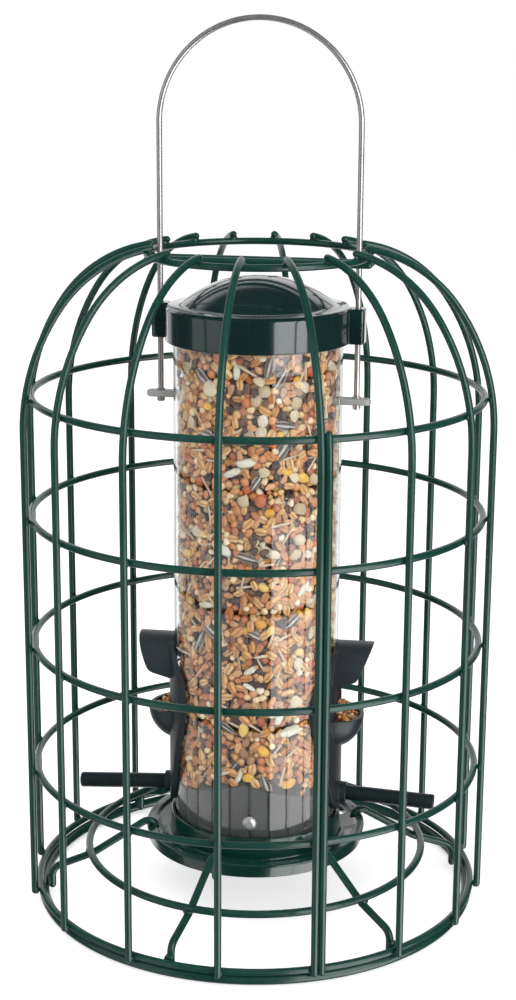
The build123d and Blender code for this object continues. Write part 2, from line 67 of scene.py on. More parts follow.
def srgb(red: int, green: int, blue: int) -> Colour:
    """The linear colour for one as seen on a screen, whose parts go from 0 to 255."""
    shares = (value / 255 for value in (red, green, blue))
    return tuple(s / 12.92 if s <= 0.04045 else ((s + 0.055) / 1.055) ** 2.4 for s in shares)


# ---- Meshes


def rounded(corners: Sequence[Triple], steps: int) -> list[Point2]:
    """Rounds the corners of a flat line.

    Args:
        corners: Each corner's two coordinates and the radius that rounds it, 0 at both ends.
        steps: Spans in each rounded corner.

    Returns:
        The points of the rounded line.
    """
    line: list[Point2] = []
    for index, (x, y, radius) in enumerate(corners):
        if radius <= 0:
            line.append((x, y))
            continue
        here = Vector((x, y))
        to_last = (Vector(corners[index - 1][:2]) - here).normalized()
        to_next = (Vector(corners[index + 1][:2]) - here).normalized()
        half = to_last.angle(to_next) / 2
        centre = here + (to_last + to_next).normalized() * radius / math.sin(half)
        start, end = (here + way * radius / math.tan(half) - centre for way in (to_last, to_next))
        for step in range(steps + 1):
            spoke = start.slerp(end, step / steps).normalized() * radius
            line.append((centre.x + spoke.x, centre.y + spoke.y))
    return line


def held(line: Sequence[Point2], gap: float = 0.25) -> list[Point2]:
    """Adds a point near both ends of each long span, so that flat faces look flat.

    Args:
        line: The points of a line.
        gap: Distance of an added point from its span's end.

    Returns:
        The points with the added ones among them.
    """
    full = [line[0]]
    for (x, y), second in zip(line, line[1:]):
        span = math.dist((x, y), second)
        for share in (gap / span, 1 - gap / span) if span > 6 * gap else ():
            full.append((x + (second[0] - x) * share, y + (second[1] - y) * share))
        full.append(second)
    return full


def arc(centre: Point2, radius: float, start: float, end: float, steps: int) -> list[Point2]:
    """Points on an arc from one angle to another, in degrees, with both ends among them."""
    turns = [math.radians(start + (end - start) * step / steps) for step in range(steps + 1)]
    return [(centre[0] + radius * math.cos(t), centre[1] + radius * math.sin(t)) for t in turns]


def upright(line: Iterable[Point2], turn: float) -> list[Vector]:
    """Stands a line of reaches and heights on a plane through the axis, turned in degrees."""
    cos, sin = math.cos(math.radians(turn)), math.sin(math.radians(turn))
    return [Vector((reach * cos, reach * sin, height)) for reach, height in line]


def circle(radius: float, height: float, count: int) -> list[Vector]:
    """Points of a level circle about the axis."""
    turns = [2 * math.pi * index / count for index in range(count)]
    return [Vector((radius * math.cos(t), radius * math.sin(t), height)) for t in turns]


def about(axis: str, turn: float) -> Matrix:
    """A rotation about one axis, in radians."""
    return Matrix.Rotation(turn, 4, axis)


def new_object(name: str, data: bpy.types.ID) -> bpy.types.Object:
    """Puts a mesh, a lamp or a camera in the scene.

    Args:
        name: Its name.
        data: Its data.

    Returns:
        The object.
    """
    made = bpy.data.objects.new(name, data)
    bpy.context.scene.collection.objects.link(made)
    return made


class MeshMaker:
    """Gathers the skins of one piece, in millimetres, and makes the piece."""

    def __init__(self) -> None:
        """Starts with no skins."""
        self.points: list[Vector] = []
        self.faces: list[tuple[int, ...]] = []

    def skin(self, rings: Sequence[Sequence[Vector]], joined: bool = False) -> None:
        """Adds a skin over rings with an equal number of points.

        Args:
            rings: The rings, in order.
            joined: Whether the last ring joins the first; if not, both ends are closed.
        """
        start, count, rows = len(self.points), len(rings[0]), len(rings)
        for ring in rings:
            self.points.extend(ring)
        for row in range(rows if joined else rows - 1):
            near, far = start + row * count, start + (row + 1) % rows * count
            for index in range(count):
                after = (index + 1) % count
                self.faces.append((near + index, near + after, far + after, far + index))
        if not joined:
            last = start + (rows - 1) * count
            self.faces.append(tuple(range(start + count - 1, start - 1, -1)))
            self.faces.append(tuple(range(last, last + count)))

    def lathe(self, profile: Sequence[Point2], count: int) -> None:
        """Adds a form turned from a closed line of reaches and heights."""
        self.skin([circle(reach, height, count) for reach, height in held(profile)], joined=True)

    def wire(self, path: Sequence[Vector], radius: float, sides: int, closed: bool = False) -> None:
        """Adds a round wire with domed ends.

        Args:
            path: Its centre line.
            radius: Its radius.
            sides: Points round its section.
            closed: Whether it is a ring.
        """
        count = len(path)
        along: list[Vector] = []
        for index in range(count):
            last = path[index - 1] if closed or index else path[0]
            after = path[(index + 1) % count] if closed or index < count - 1 else path[-1]
            along.append((after - last).normalized())
        across = along[0].orthogonal().normalized()
        if abs(along[0].z) < 0.9:
            across = (Vector((0, 0, 1)) - along[0] * along[0].z).normalized()
        sections: list[tuple[Vector, Vector, Vector]] = []
        for index in range(count):
            if index:
                across = along[index - 1].rotation_difference(along[index]) @ across
            sections.append((path[index], across.copy(), along[index].cross(across)))
        rings = [self._section(*section, radius, sides) for section in sections]
        (first, *near), (final, *far) = sections[0], sections[-1]
        for tilt in () if closed else (35.0, 62.0, 82.0):
            lift, slim = radius * math.sin(math.radians(tilt)), radius * math.cos(math.radians(tilt))
            rings.append(self._section(final + along[-1] * lift, *far, slim, sides))
            rings.insert(0, self._section(first - along[0] * lift, *near, slim, sides))
        self.skin(rings, closed)

    @staticmethod
    def _section(centre: Vector, side: Vector, up: Vector, radius: float, sides: int) -> list[Vector]:
        """One round section of a wire."""
        turns = [2 * math.pi * index / sides for index in range(sides)]
        return [centre + side * (radius * math.cos(t)) + up * (radius * math.sin(t)) for t in turns]

    def beads(self, turns: Sequence[float], place: Point2, size: Triple) -> None:
        """Adds equal round beads of weld or coating about the axis.

        Args:
            turns: Their directions in degrees.
            place: Their reach and height.
            size: Their half sizes outwards, sideways and upwards.
        """
        levels = [math.radians(tilt) for tilt in (-84, -55, -28, 0, 28, 55, 84)]
        rings = [[point * Vector(size) for point in circle(math.cos(t), math.sin(t), 10)] for t in levels]
        for turn in turns:
            spin, centre = about("Z", math.radians(turn)), upright([place], turn)[0]
            self.skin([[centre + spin @ point for point in ring] for ring in rings])

    def piece(self, name: str) -> bpy.types.Object:
        """Makes the piece in metres, with doubled points merged and faces turned outwards.

        Args:
            name: The piece's name.

        Returns:
            The piece.
        """
        mesh = bpy.data.meshes.new(name)
        mesh.from_pydata([point * MM for point in self.points], [], self.faces)
        clean = bmesh.new()
        clean.from_mesh(mesh)
        bmesh.ops.remove_doubles(clean, verts=clean.verts, dist=1e-6)
        bmesh.ops.dissolve_degenerate(clean, edges=clean.edges, dist=1e-7)
        bmesh.ops.recalc_face_normals(clean, faces=clean.faces)
        clean.to_mesh(mesh)
        clean.free()
        return new_object(name, mesh)


def drill(target: bpy.types.Object, cutters: MeshMaker) -> None:
    """Cuts forms out of a piece and keeps the result as its mesh.

    Args:
        target: The piece.
        cutters: The forms to cut, which don't touch each other.
    """
    tool = cutters.piece(target.name + "_drill")
    change = target.modifiers.new("drill", "BOOLEAN")
    change.operation = "DIFFERENCE"
    change.solver = "EXACT"
    change.object = tool
    done = target.evaluated_get(bpy.context.evaluated_depsgraph_get())
    mesh = bpy.data.meshes.new_from_object(done)
    target.modifiers.clear()
    target.data = mesh
    bpy.data.objects.remove(tool)


# ---- Shader building


class Board:
    """A node tree with short ways to add nodes and join them."""

    def __init__(self, tree: bpy.types.NodeTree) -> None:
        """Starts on one tree."""
        self.tree = tree

    def feed(self, node: Node, feeds: Feeds) -> Node:
        """Fills inputs of a node.

        Args:
            node: The node.
            feeds: What goes into its inputs: numbers, colours, or outputs of other nodes.

        Returns:
            The node.
        """
        for key, value in feeds.items():
            if isinstance(value, Socket):
                self.tree.links.new(value, node.inputs[key])
            else:
                node.inputs[key].default_value = (*value, 1.0) if isinstance(value, tuple) else value
        return node

    def add(self, kind: str, feeds: Feeds | None = None, **settings: object) -> Node:
        """Adds a node.

        Args:
            kind: The node's type.
            feeds: What goes into its inputs.
            **settings: Properties of the node itself.

        Returns:
            The node.
        """
        node = self.tree.nodes.new(kind)
        for key, value in settings.items():
            setattr(node, key, value)
        return self.feed(node, feeds or {})

    def effect(self, group: bpy.types.NodeTree, feeds: Feeds) -> Node:
        """Adds a shared effect."""
        return self.add("ShaderNodeGroup", feeds, node_tree=group)

    def math(self, operation: str, first: object, second: object = 0.0, third: object = 0.0) -> Socket:
        """Adds a Math node and returns its output."""
        return self.add("ShaderNodeMath", {0: first, 1: second, 2: third}, operation=operation).outputs[0]

    def mix(self, share: object, first: object, second: object) -> Socket:
        """Mixes two colours and returns the result."""
        return self.add("ShaderNodeMix", {0: share, 6: first, 7: second}, data_type="RGBA").outputs[2]

    def spread(self, value: Socket, low: float, high: float, to_low: float, to_high: float) -> Socket:
        """Maps one range of a value onto another, held at its ends."""
        feeds = {0: value, 1: low, 2: high, 3: to_low, 4: to_high}
        return self.add("ShaderNodeMapRange", feeds).outputs[0]

    def place(self, space: str = "Object") -> Socket:
        """A place in one space."""
        return self.add("ShaderNodeTexCoord").outputs[space]

    def split(self, vector: Socket) -> bpy.types.NodeOutputs:
        """The three parts of a vector."""
        return self.add("ShaderNodeSeparateXYZ", {0: vector}).outputs

    def noise(self, place: Socket, scale: object, detail: object = 2.0, rough: float = 0.5) -> Socket:
        """Adds a Noise Texture and returns its value."""
        feeds = {"Vector": place, "Scale": scale, "Detail": detail, "Roughness": rough}
        return self.add("ShaderNodeTexNoise", feeds).outputs[0]

    def bump(self, height: Socket, depth_mm: float, **feeds: Socket) -> Socket:
        """Adds a Bump node and returns its normal."""
        return self.add("ShaderNodeBump", {"Height": height, "Distance": depth_mm * MM, **feeds}).outputs[0]

    def ramp(self, value: Socket, stops: Sequence[tuple[float, Colour]]) -> Socket:
        """Adds a Color Ramp.

        Args:
            value: What it reads.
            stops: Each stop's place and colour.

        Returns:
            Its colour.
        """
        node = self.add("ShaderNodeValToRGB", {0: value})
        bar = node.color_ramp.elements
        while len(bar) < len(stops):
            bar.new(1.0)
        for element, (place, colour) in zip(bar, stops):
            element.position = place
            element.color = (*colour, 1.0)
        return node.outputs[0]


class Group(Board):
    """A node group that gives one shared effect."""

    def __init__(self, name: str, inputs: dict[str, float | Colour]) -> None:
        """Starts a group.

        Args:
            name: Its name.
            inputs: Each input's name and default.
        """
        super().__init__(bpy.data.node_groups.new(name, "ShaderNodeTree"))
        for label, value in inputs.items():
            coloured = isinstance(value, tuple)
            kind = "NodeSocketColor" if coloured else "NodeSocketFloat"
            socket = self.tree.interface.new_socket(label, in_out="INPUT", socket_type=kind)
            socket.default_value = (*value, 1.0) if coloured else value
        self.given = self.add("NodeGroupInput").outputs

    def scale(self) -> Socket:
        """The noise scale for the size that the group is given."""
        return self.math("DIVIDE", 1000.0, self.given["Size mm"])

    def gives(self, results: dict[str, Socket]) -> bpy.types.NodeTree:
        """Makes the group's outputs.

        Args:
            results: What each output gives, by its name.

        Returns:
            The group.
        """
        for label, value in results.items():
            kind = "NodeSocketColor" if value.type == "RGBA" else "NodeSocketFloat"
            self.tree.interface.new_socket(label, in_out="OUTPUT", socket_type=kind)
        self.add("NodeGroupOutput", results)
        return self.tree


class Effects:
    """Shared effects, each one a node group that is built once."""

    def __init__(self) -> None:
        """Builds every group."""
        self.grain, self.mottle, self.dust = self._grain(), self._mottle(), self._dust()
        self.wear, self.streaks = self._wear(), self._streaks()

    @staticmethod
    def _grain() -> bpy.types.NodeTree:
        """Fine orange-peel or moulded grain, as a height from 0 to 1."""
        group = Group("Grain", {"Size mm": 0.8, "Detail": 2.0})
        return group.gives({"Height": group.noise(group.place(), group.scale(), group.given["Detail"])})

    @staticmethod
    def _mottle() -> bpy.types.NodeTree:
        """Two tones that drift into each other, with a finer tone over them.

        Returns:
            The group.
        """
        inputs = {"First": (0.1,) * 3, "Second": (0.2,) * 3, "Size mm": 20.0, "Contrast": 1.0}
        group = Group("Mottle", inputs)
        place, scale = group.place(), group.scale()
        fine = group.noise(place, group.math("MULTIPLY", scale, 9.0))
        wide = group.math("MULTIPLY", group.noise(place, scale, 3.0), 0.65)
        centred = group.math("SUBTRACT", group.math("MULTIPLY_ADD", fine, 0.35, wide), 0.5)
        contrast = group.math("MULTIPLY", group.given["Contrast"], 3.0)
        mask = group.spread(group.math("MULTIPLY_ADD", centred, contrast, 0.5), 0.0, 1.0, 0.0, 1.0)
        tones = group.mix(mask, group.given["First"], group.given["Second"])
        return group.gives({"Color": tones, "Mask": mask})

    @staticmethod
    def _dust() -> bpy.types.NodeTree:
        """Dust that lies on surfaces that face up, as a mask.

        Returns:
            The group.
        """
        group = Group("Dust", {"Amount": 0.3, "Size mm": 4.0})
        facing = group.split(group.add("ShaderNodeNewGeometry").outputs["Normal"])[2]
        lying = group.spread(facing, 0.1, 0.95, 0.12, 1.0)
        specks = group.spread(group.noise(group.place(), group.scale(), 6.0, 0.7), 0.48, 0.72, 0.0, 1.0)
        amount = group.math("MULTIPLY", group.math("MULTIPLY", lying, specks), group.given["Amount"])
        return group.gives({"Mask": amount})

    @staticmethod
    def _wear() -> bpy.types.NodeTree:
        """Rubbed edges: where a rounded normal leaves the true one, as a mask.

        Returns:
            The group.
        """
        group = Group("Edge wear", {"Radius mm": 0.6, "Amount": 0.5})
        radius = group.math("MULTIPLY", group.given["Radius mm"], MM)
        soft = group.add("ShaderNodeBevel", {"Radius": radius}, samples=4).outputs[0]
        true = group.add("ShaderNodeNewGeometry").outputs["Normal"]
        match = group.add("ShaderNodeVectorMath", {0: soft, 1: true}, operation="DOT_PRODUCT")
        edge = group.spread(match.outputs["Value"], 0.999, 0.9, 0.0, 1.0)
        broken = group.spread(group.noise(group.place(), 700.0, 3.0), 0.35, 0.65, 0.2, 1.0)
        amount = group.math("MULTIPLY", group.math("MULTIPLY", edge, broken), group.given["Amount"])
        return group.gives({"Mask": amount})

    @staticmethod
    def _streaks() -> bpy.types.NodeTree:
        """Fine lines drawn out along the height, as a value from 0 to 1.

        Returns:
            The group.
        """
        group = Group("Streaks", {"Size mm": 0.3, "Length": 30.0})
        x, y, z = group.split(group.place())
        slow = group.math("DIVIDE", z, group.given["Length"])
        drawn = group.add("ShaderNodeCombineXYZ", {0: x, 1: y, 2: slow}).outputs[0]
        return group.gives({"Value": group.noise(drawn, group.scale(), 3.0)})


class Skin(Board):
    """A material's node tree with one Principled shader on its output."""

    def __init__(self, name: str) -> None:
        """Starts a material.

        Args:
            name: Its name.
        """
        self.material = bpy.data.materials.new(name)
        self.material.use_nodes = True
        super().__init__(self.material.node_tree)
        self.tree.nodes.clear()
        self.shader = self.add("ShaderNodeBsdfPrincipled")
        self.output = self.add("ShaderNodeOutputMaterial", {"Surface": self.shader.outputs[0]})

    def done(self, feeds: Feeds) -> bpy.types.Material:
        """Feeds the shader and returns the material."""
        self.feed(self.shader, feeds)
        return self.material


@dataclass(frozen=True)
class Moulding:
    """Plastic or a coating: two tones, grain, rubbed edges, dust and a soft-edged gloss."""

    name: str
    first: Colour
    second: Colour
    tone_mm: float = 25.0
    roughness: Point2 = (0.25, 0.4)
    coat: float = 0.0
    coat_roughness: float = 0.06
    grain_mm: float = 0.7
    grain_depth_mm: float = 0.01
    edge: float = 0.3
    edge_colour: Colour = (0.3, 0.32, 0.3)
    edge_mm: float = 0.5
    dust: float = 0.15
    dust_mm: float = 3.0
    dust_colour: Colour = (0.45, 0.42, 0.36)

    def material(self, effects: Effects) -> bpy.types.Material:
        """Makes the material.

        Args:
            effects: The shared effects.

        Returns:
            The material.
        """
        skin = Skin(self.name)
        tones = {"First": self.first, "Second": self.second, "Size mm": self.tone_mm}
        tone = skin.effect(effects.mottle, tones).outputs
        wear = skin.effect(effects.wear, {"Radius mm": self.edge_mm, "Amount": self.edge}).outputs[0]
        dust = skin.effect(effects.dust, {"Amount": self.dust, "Size mm": self.dust_mm}).outputs[0]
        grain = skin.effect(effects.grain, {"Size mm": self.grain_mm}).outputs[0]
        worn = skin.mix(wear, tone["Color"], self.edge_colour)
        sheen = skin.spread(tone["Mask"], 0.0, 1.0, *self.roughness)
        soft = skin.add("ShaderNodeBevel", {"Radius": self.edge_mm * MM}, samples=4).outputs[0]
        return skin.done({
            "Base Color": skin.mix(dust, worn, self.dust_colour),
            "Roughness": skin.math("MULTIPLY_ADD", dust, 0.35, sheen),
            "Normal": skin.bump(grain, self.grain_depth_mm, Normal=soft),
            "Coat Weight": self.coat,
            "Coat Roughness": self.coat_roughness,
        })


@dataclass(frozen=True)
class BareMetal:
    """Drawn or turned metal with fine lines and a little tarnish."""

    name: str
    bright: Colour
    dull: Colour
    roughness: Point2
    line_mm: float = 0.12
    line_length: float = 40.0
    line_depth_mm: float = 0.004
    tone_mm: float = 6.0
    contrast: float = 1.2
    metallic: float = 0.8

    def material(self, effects: Effects) -> bpy.types.Material:
        """Makes the material.

        Args:
            effects: The shared effects.

        Returns:
            The material.
        """
        skin = Skin(self.name)
        tones = {"First": self.bright, "Second": self.dull, "Size mm": self.tone_mm}
        tones["Contrast"] = self.contrast
        lines = skin.effect(effects.streaks, {"Size mm": self.line_mm, "Length": self.line_length}).outputs[0]
        return skin.done({
            "Base Color": skin.effect(effects.mottle, tones).outputs["Color"],
            "Roughness": skin.spread(lines, 0.3, 0.7, *self.roughness),
            "Normal": skin.bump(lines, self.line_depth_mm),
            "Metallic": self.metallic,
        })


@dataclass(frozen=True)
class ClearPlastic:
    """Clear extruded tube with faint draw lines and a trace of dust."""

    name: str
    tint: Colour = (0.985, 0.99, 0.985)
    dull_tint: Colour = (0.95, 0.96, 0.95)
    shadow_tint: Colour = (0.93, 0.95, 0.94)
    haze: Point2 = (0.015, 0.05)
    line_depth_mm: float = 0.0015

    def material(self, effects: Effects) -> bpy.types.Material:
        """Makes the material.

        Args:
            effects: The shared effects.

        Returns:
            The material.
        """
        skin = Skin(self.name)
        lines = skin.effect(effects.streaks, {"Size mm": 1.6, "Length": 25.0}).outputs[0]
        dust = skin.effect(effects.dust, {"Amount": 0.25, "Size mm": 1.2}).outputs[0]
        tones = {"First": self.tint, "Second": self.dull_tint, "Size mm": 40.0, "Contrast": 0.8}
        passing = skin.add("ShaderNodeBsdfTransparent", {0: self.shadow_tint}).outputs[0]
        shadow = skin.add("ShaderNodeLightPath").outputs["Is Shadow Ray"]
        both = skin.add("ShaderNodeMixShader", {0: shadow, 1: skin.shader.outputs[0], 2: passing})
        skin.feed(skin.output, {"Surface": both.outputs[0]})
        haze = skin.spread(lines, 0.35, 0.75, *self.haze)
        return skin.done({
            "Base Color": skin.effect(effects.mottle, tones).outputs["Color"],
            "Roughness": skin.math("MULTIPLY_ADD", dust, 0.3, haze),
            "Normal": skin.bump(lines, self.line_depth_mm),
            "Transmission Weight": 1.0,
            "IOR": 1.49,
        })


class Marking(Enum):
    """What a seed's skin shows beside its tone."""

    PLAIN = "plain"
    STRIPED = "striped"
    CREASED = "creased"
    TIPPED = "tipped"


@dataclass(frozen=True)
class SeedKind:
    """One kind of seed: its size, its form, its share of the mix and its skin.

    Attributes:
        cuts: Number of flat faces.
        rise: How much more of it lies high in the tube than low.
    """

    name: str
    length: float
    width: float
    thickness: float
    share: float
    tones: tuple[Colour, ...]
    marking: Marking = Marking.PLAIN
    mark: Colour = (0.05, 0.03, 0.02)
    taper: float = 0.0
    crease: float = 0.0
    cuts: int = 0
    rise: float = 0.0
    roughness: float = 0.5

    def half(self, share: float) -> float:
        """A share of its mean width, as the room that it takes."""
        return share * math.sqrt(self.length * self.width)

    def material(self, effects: Effects) -> bpy.types.Material:
        """Makes the material, which reads each seed's own tone and place from its mesh.

        Args:
            effects: The shared effects.

        Returns:
            The material.
        """
        skin = Skin("seed_" + self.name)
        tint = skin.add("ShaderNodeAttribute", attribute_name="tint").outputs["Fac"]
        last = len(self.tones) - 1
        tone = skin.ramp(tint, [(index / last, colour) for index, colour in enumerate(self.tones)])
        own = skin.add("ShaderNodeAttribute", attribute_name="own").outputs["Vector"]
        along, girth, _ = skin.split(own)
        if self.marking is Marking.STRIPED:
            wave = skin.math("SINE", skin.math("MULTIPLY", girth, 2 * math.pi * 5))
            ends = skin.math("MULTIPLY", skin.math("ABSOLUTE", skin.math("SUBTRACT", along, 0.5)), 0.9)
            mask = skin.spread(skin.math("SUBTRACT", wave, ends), 0.15, 0.55, 0.0, 1.0)
        elif self.marking is Marking.CREASED:
            beside = skin.math("ABSOLUTE", skin.math("SUBTRACT", girth, 0.25))
            mask = skin.spread(beside, 0.0, 0.09, 0.85, 0.0)
        elif self.marking is Marking.TIPPED:
            mask = skin.spread(along, 0.82, 1.0, 0.0, 0.9)
        else:
            mask = skin.spread(along, 0.9, 1.0, 0.0, 0.6)
        grain = skin.effect(effects.grain, {"Size mm": 0.5, "Detail": 4.0}).outputs[0]
        shade = skin.spread(grain, 0.3, 0.7, 0.0, 0.35)
        darker = tuple(0.45 * value for value in self.tones[0])
        return skin.done({
            "Base Color": skin.mix(shade, skin.mix(mask, tone, self.mark), darker),
            "Roughness": skin.spread(grain, 0.3, 0.7, self.roughness - 0.1, self.roughness + 0.15),
            "Normal": skin.bump(grain, 0.06),
        })


class Finish(Enum):
    """Every finish of the feeder but the seeds'."""

    WIRE = Moulding(
        "coated_wire", srgb(5, 54, 46), srgb(11, 67, 57), roughness=(0.28, 0.4), coat=0.3,
        grain_mm=0.9, grain_depth_mm=0.02, edge=0.0, dust=0.03,
    )
    GREEN_GLOSS = Moulding(
        "green_gloss", srgb(9, 33, 34), srgb(13, 42, 42), roughness=(0.14, 0.22), coat=1.0,
        grain_mm=3.0, grain_depth_mm=0.004, edge=0.12, edge_colour=srgb(60, 90, 82), dust=0.012,
    )
    TRAY = Moulding(
        "tray_gloss", srgb(5, 48, 42), srgb(9, 57, 49), roughness=(0.22, 0.28), coat=0.7,
        grain_mm=4.0, grain_depth_mm=0.002, edge=0.12, edge_colour=srgb(60, 90, 82), dust=0.02,
    )
    CHARCOAL = Moulding(
        "charcoal_moulding", srgb(35, 45, 50), srgb(44, 54, 59), roughness=(0.34, 0.46),
        grain_mm=0.35, grain_depth_mm=0.02, edge=0.25, edge_colour=srgb(96, 106, 110), dust=0.02,
    )
    PERCH = Moulding(
        "perch_moulding", srgb(17, 31, 34), srgb(25, 40, 43), roughness=(0.3, 0.42),
        grain_mm=0.5, grain_depth_mm=0.012, edge_colour=srgb(80, 90, 92), dust=0.02,
    )
    PLUG = Moulding(
        "plug_moulding", srgb(43, 45, 45), srgb(56, 58, 58), tone_mm=12.0, roughness=(0.35, 0.5),
        grain_mm=0.5, edge=0.2, edge_colour=srgb(130, 132, 130), dust=0.03,
    )
    PALE = Moulding(
        "pale_moulding", srgb(152, 153, 152), srgb(172, 173, 171), roughness=(0.4, 0.55),
        grain_mm=0.4, edge=0.2, edge_colour=srgb(210, 210, 206),
    )
    # Painted shade: a dark seed-brown, darker than any seed, for the masses behind the seed layers, so that
    # the gaps between seeds read as shadow.
    HUSK_DARK = Moulding(
        "seed_shade", srgb(48, 20, 8), srgb(86, 42, 18), tone_mm=3.0, roughness=(0.8, 0.95),
        grain_mm=1.2, grain_depth_mm=0.4, edge=0.0, dust=0.0,
    )
    STEEL = BareMetal(
        "handle_steel", (0.66, 0.65, 0.64), (0.52, 0.51, 0.5), (0.26, 0.36),
        line_mm=0.3, line_depth_mm=0.001, metallic=0.85,
    )
    ALUMINIUM = BareMetal("rivet_metal", (0.88,) * 3, (0.76,) * 3, (0.4, 0.55), line_length=1.0)
    CLEAR = ClearPlastic("clear_tube")


# ---- Pieces


class Workshop:
    """Makes pieces: gives each mesh its material, its body and the node that it stands for."""

    def __init__(self) -> None:
        """Starts with the shared effects and no materials."""
        self.effects = Effects()
        self.materials: dict[str, bpy.types.Material] = {}

    def paint(self, mesh: bpy.types.Mesh, finish: Finish | SeedKind) -> None:
        """Gives a mesh the material of a finish, which is made once.

        Args:
            mesh: The mesh.
            finish: The finish.
        """
        style = finish.value if isinstance(finish, Finish) else finish
        if style.name not in self.materials:
            self.materials[style.name] = style.material(self.effects)
        mesh.materials.clear()
        mesh.materials.append(self.materials[style.name])

    def place(
        self,
        made: bpy.types.Object,
        finish: Finish | SeedKind,
        slot: str,
        node: str,
        body: str = "feeder",
        sharp: float = 35.0,
    ) -> None:
        """Finishes a piece and hands it to the frame.

        Args:
            made: The piece, in place.
            finish: Its finish.
            slot: The record's material slot; not used.
            node: The CAD node that it stands for.
            body: The CAD body that it rides on.
            sharp: Angle in degrees over which an edge looks sharp.
        """
        self.paint(made.data, finish)
        made.data.shade_smooth()
        made.data.set_sharp_from_angle(angle=math.radians(sharp))
        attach(made, body)
        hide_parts(node)
        LOG.info("%s: %d faces", made.name, len(made.data.polygons))

    def coated(self, maker: MeshMaker, name: str, node: str, body: str = "feeder") -> None:
        """Makes and hands over a piece of coated wire."""
        self.place(maker.piece(name), Finish.WIRE, "coated_wire", node, body)


@dataclass
class Assembly:
    """A part of the feeder that is built in one workshop."""

    shop: Workshop


def ring_place(node: str, corner: float, turn: float = 2.5) -> Point2:
    """Reach and height of a ring's centre line, from its CAD node.

    Args:
        node: The ring's node.
        corner: Distance from the centre line to the outermost corner of its section.
        turn: Direction in degrees of the ring's first corner.

    Returns:
        The reach and the height in millimetres.
    """
    low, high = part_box(node)
    return high.x / MM / math.cos(math.radians(turn)) - corner, (low.z + high.z) / 2 / MM


@dataclass
class WireCage(Assembly):
    """The welded and coated cage: ribs, seam wire, rings and guide bars."""

    rib_count: int = 16
    rib_radius: float = 95.0
    rib_turn: float = 2.5
    foot: float = 5.6
    wire: float = 1.45
    dome_start: float = 201.652
    lower_radius: float = 85.0
    lower_turn: float = 36.0
    upper_radius: float = 53.029
    rib_end_turn: float = 81.5
    seam_rib: int = 13
    seam_rise: float = 15.0
    seam_gap: float = 2.02
    section_corner: float = 1.5395
    bead_reach: float = 1.62
    top_bead_lift: float = 0.9
    bead_size: Triple = (1.2, 1.75, 1.75)

    def side(self, end: float, steps: int) -> list[Point2]:
        """The straight side of a rib and the start of its dome, as reach and height.

        Args:
            end: Angle in degrees at which the dome's lower arc ends.
            steps: Spans in that arc.

        Returns:
            The points.
        """
        centre = (self.rib_radius - self.lower_radius, self.dome_start)
        line = [(self.rib_radius, self.foot), (self.rib_radius, self.dome_start / 2)]
        return line + arc(centre, self.lower_radius, 0, end, steps)

    def rib_line(self) -> list[Point2]:
        """A rib's centre line as reach and height.

        Returns:
            The points.
        """
        step, tilt = self.lower_radius - self.upper_radius, math.radians(self.lower_turn)
        reach = self.rib_radius - self.lower_radius + step * math.cos(tilt)
        upper = (reach, self.dome_start + step * math.sin(tilt))
        dome = arc(upper, self.upper_radius, self.lower_turn, self.rib_end_turn, 12)
        return self.side(self.lower_turn, 12) + dome[1:]

    def build(self) -> None:
        """Builds every wire of the cage as a piece of its own."""
        line = self.rib_line()
        turns = [self.rib_turn + 360 * index / self.rib_count for index in range(self.rib_count)]
        for index, turn in enumerate(turns, 1):
            self._wire(f"rib_{index:02d}", upright(line, turn), f"cage_rib_{index:02d}")
        end = math.degrees(math.asin(self.seam_rise / self.lower_radius))
        turn = turns[self.seam_rib] + math.degrees(self.seam_gap * self.wire / self.rib_radius)
        self._wire("seam", upright(self.side(end, 4), turn), "cage_seam_wire")
        for name in ("bottom_ring", "ring_1", "ring_2", "ring_3", "ring_4", "top_ring"):
            radius, height = ring_place("cage_" + name, self.section_corner)
            spot = (radius + self.bead_reach * self.wire, height)
            if name == "top_ring":
                spot = (radius, height + self.wire * self.top_bead_lift)
            maker = MeshMaker()
            maker.wire(circle(radius, height, RING_SPANS), self.wire, WIRE_SIDES, closed=True)
            maker.beads(turns, spot, self.bead_size)
            self.shop.coated(maker, "cage_wire_" + name, "cage_" + name, "cage")
        for name in ("guide_bar_front", "guide_bar_back"):
            low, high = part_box("cage_" + name)
            middle, reach = (low + high) / 2 / MM, high.x / MM - self.wire
            path = [Vector((share * reach, middle.y, middle.z)) for share in (-1, -0.5, 0, 0.5, 1)]
            self._wire(name, path, "cage_" + name)

    def _wire(self, name: str, path: Sequence[Vector], node: str) -> None:
        """Makes one open wire of the cage.

        Args:
            name: The end of its name.
            path: Its centre line.
            node: The CAD node that it stands for.
        """
        maker = MeshMaker()
        maker.wire(path, self.wire, WIRE_SIDES)
        self.shop.coated(maker, "cage_wire_" + name, node, "cage")


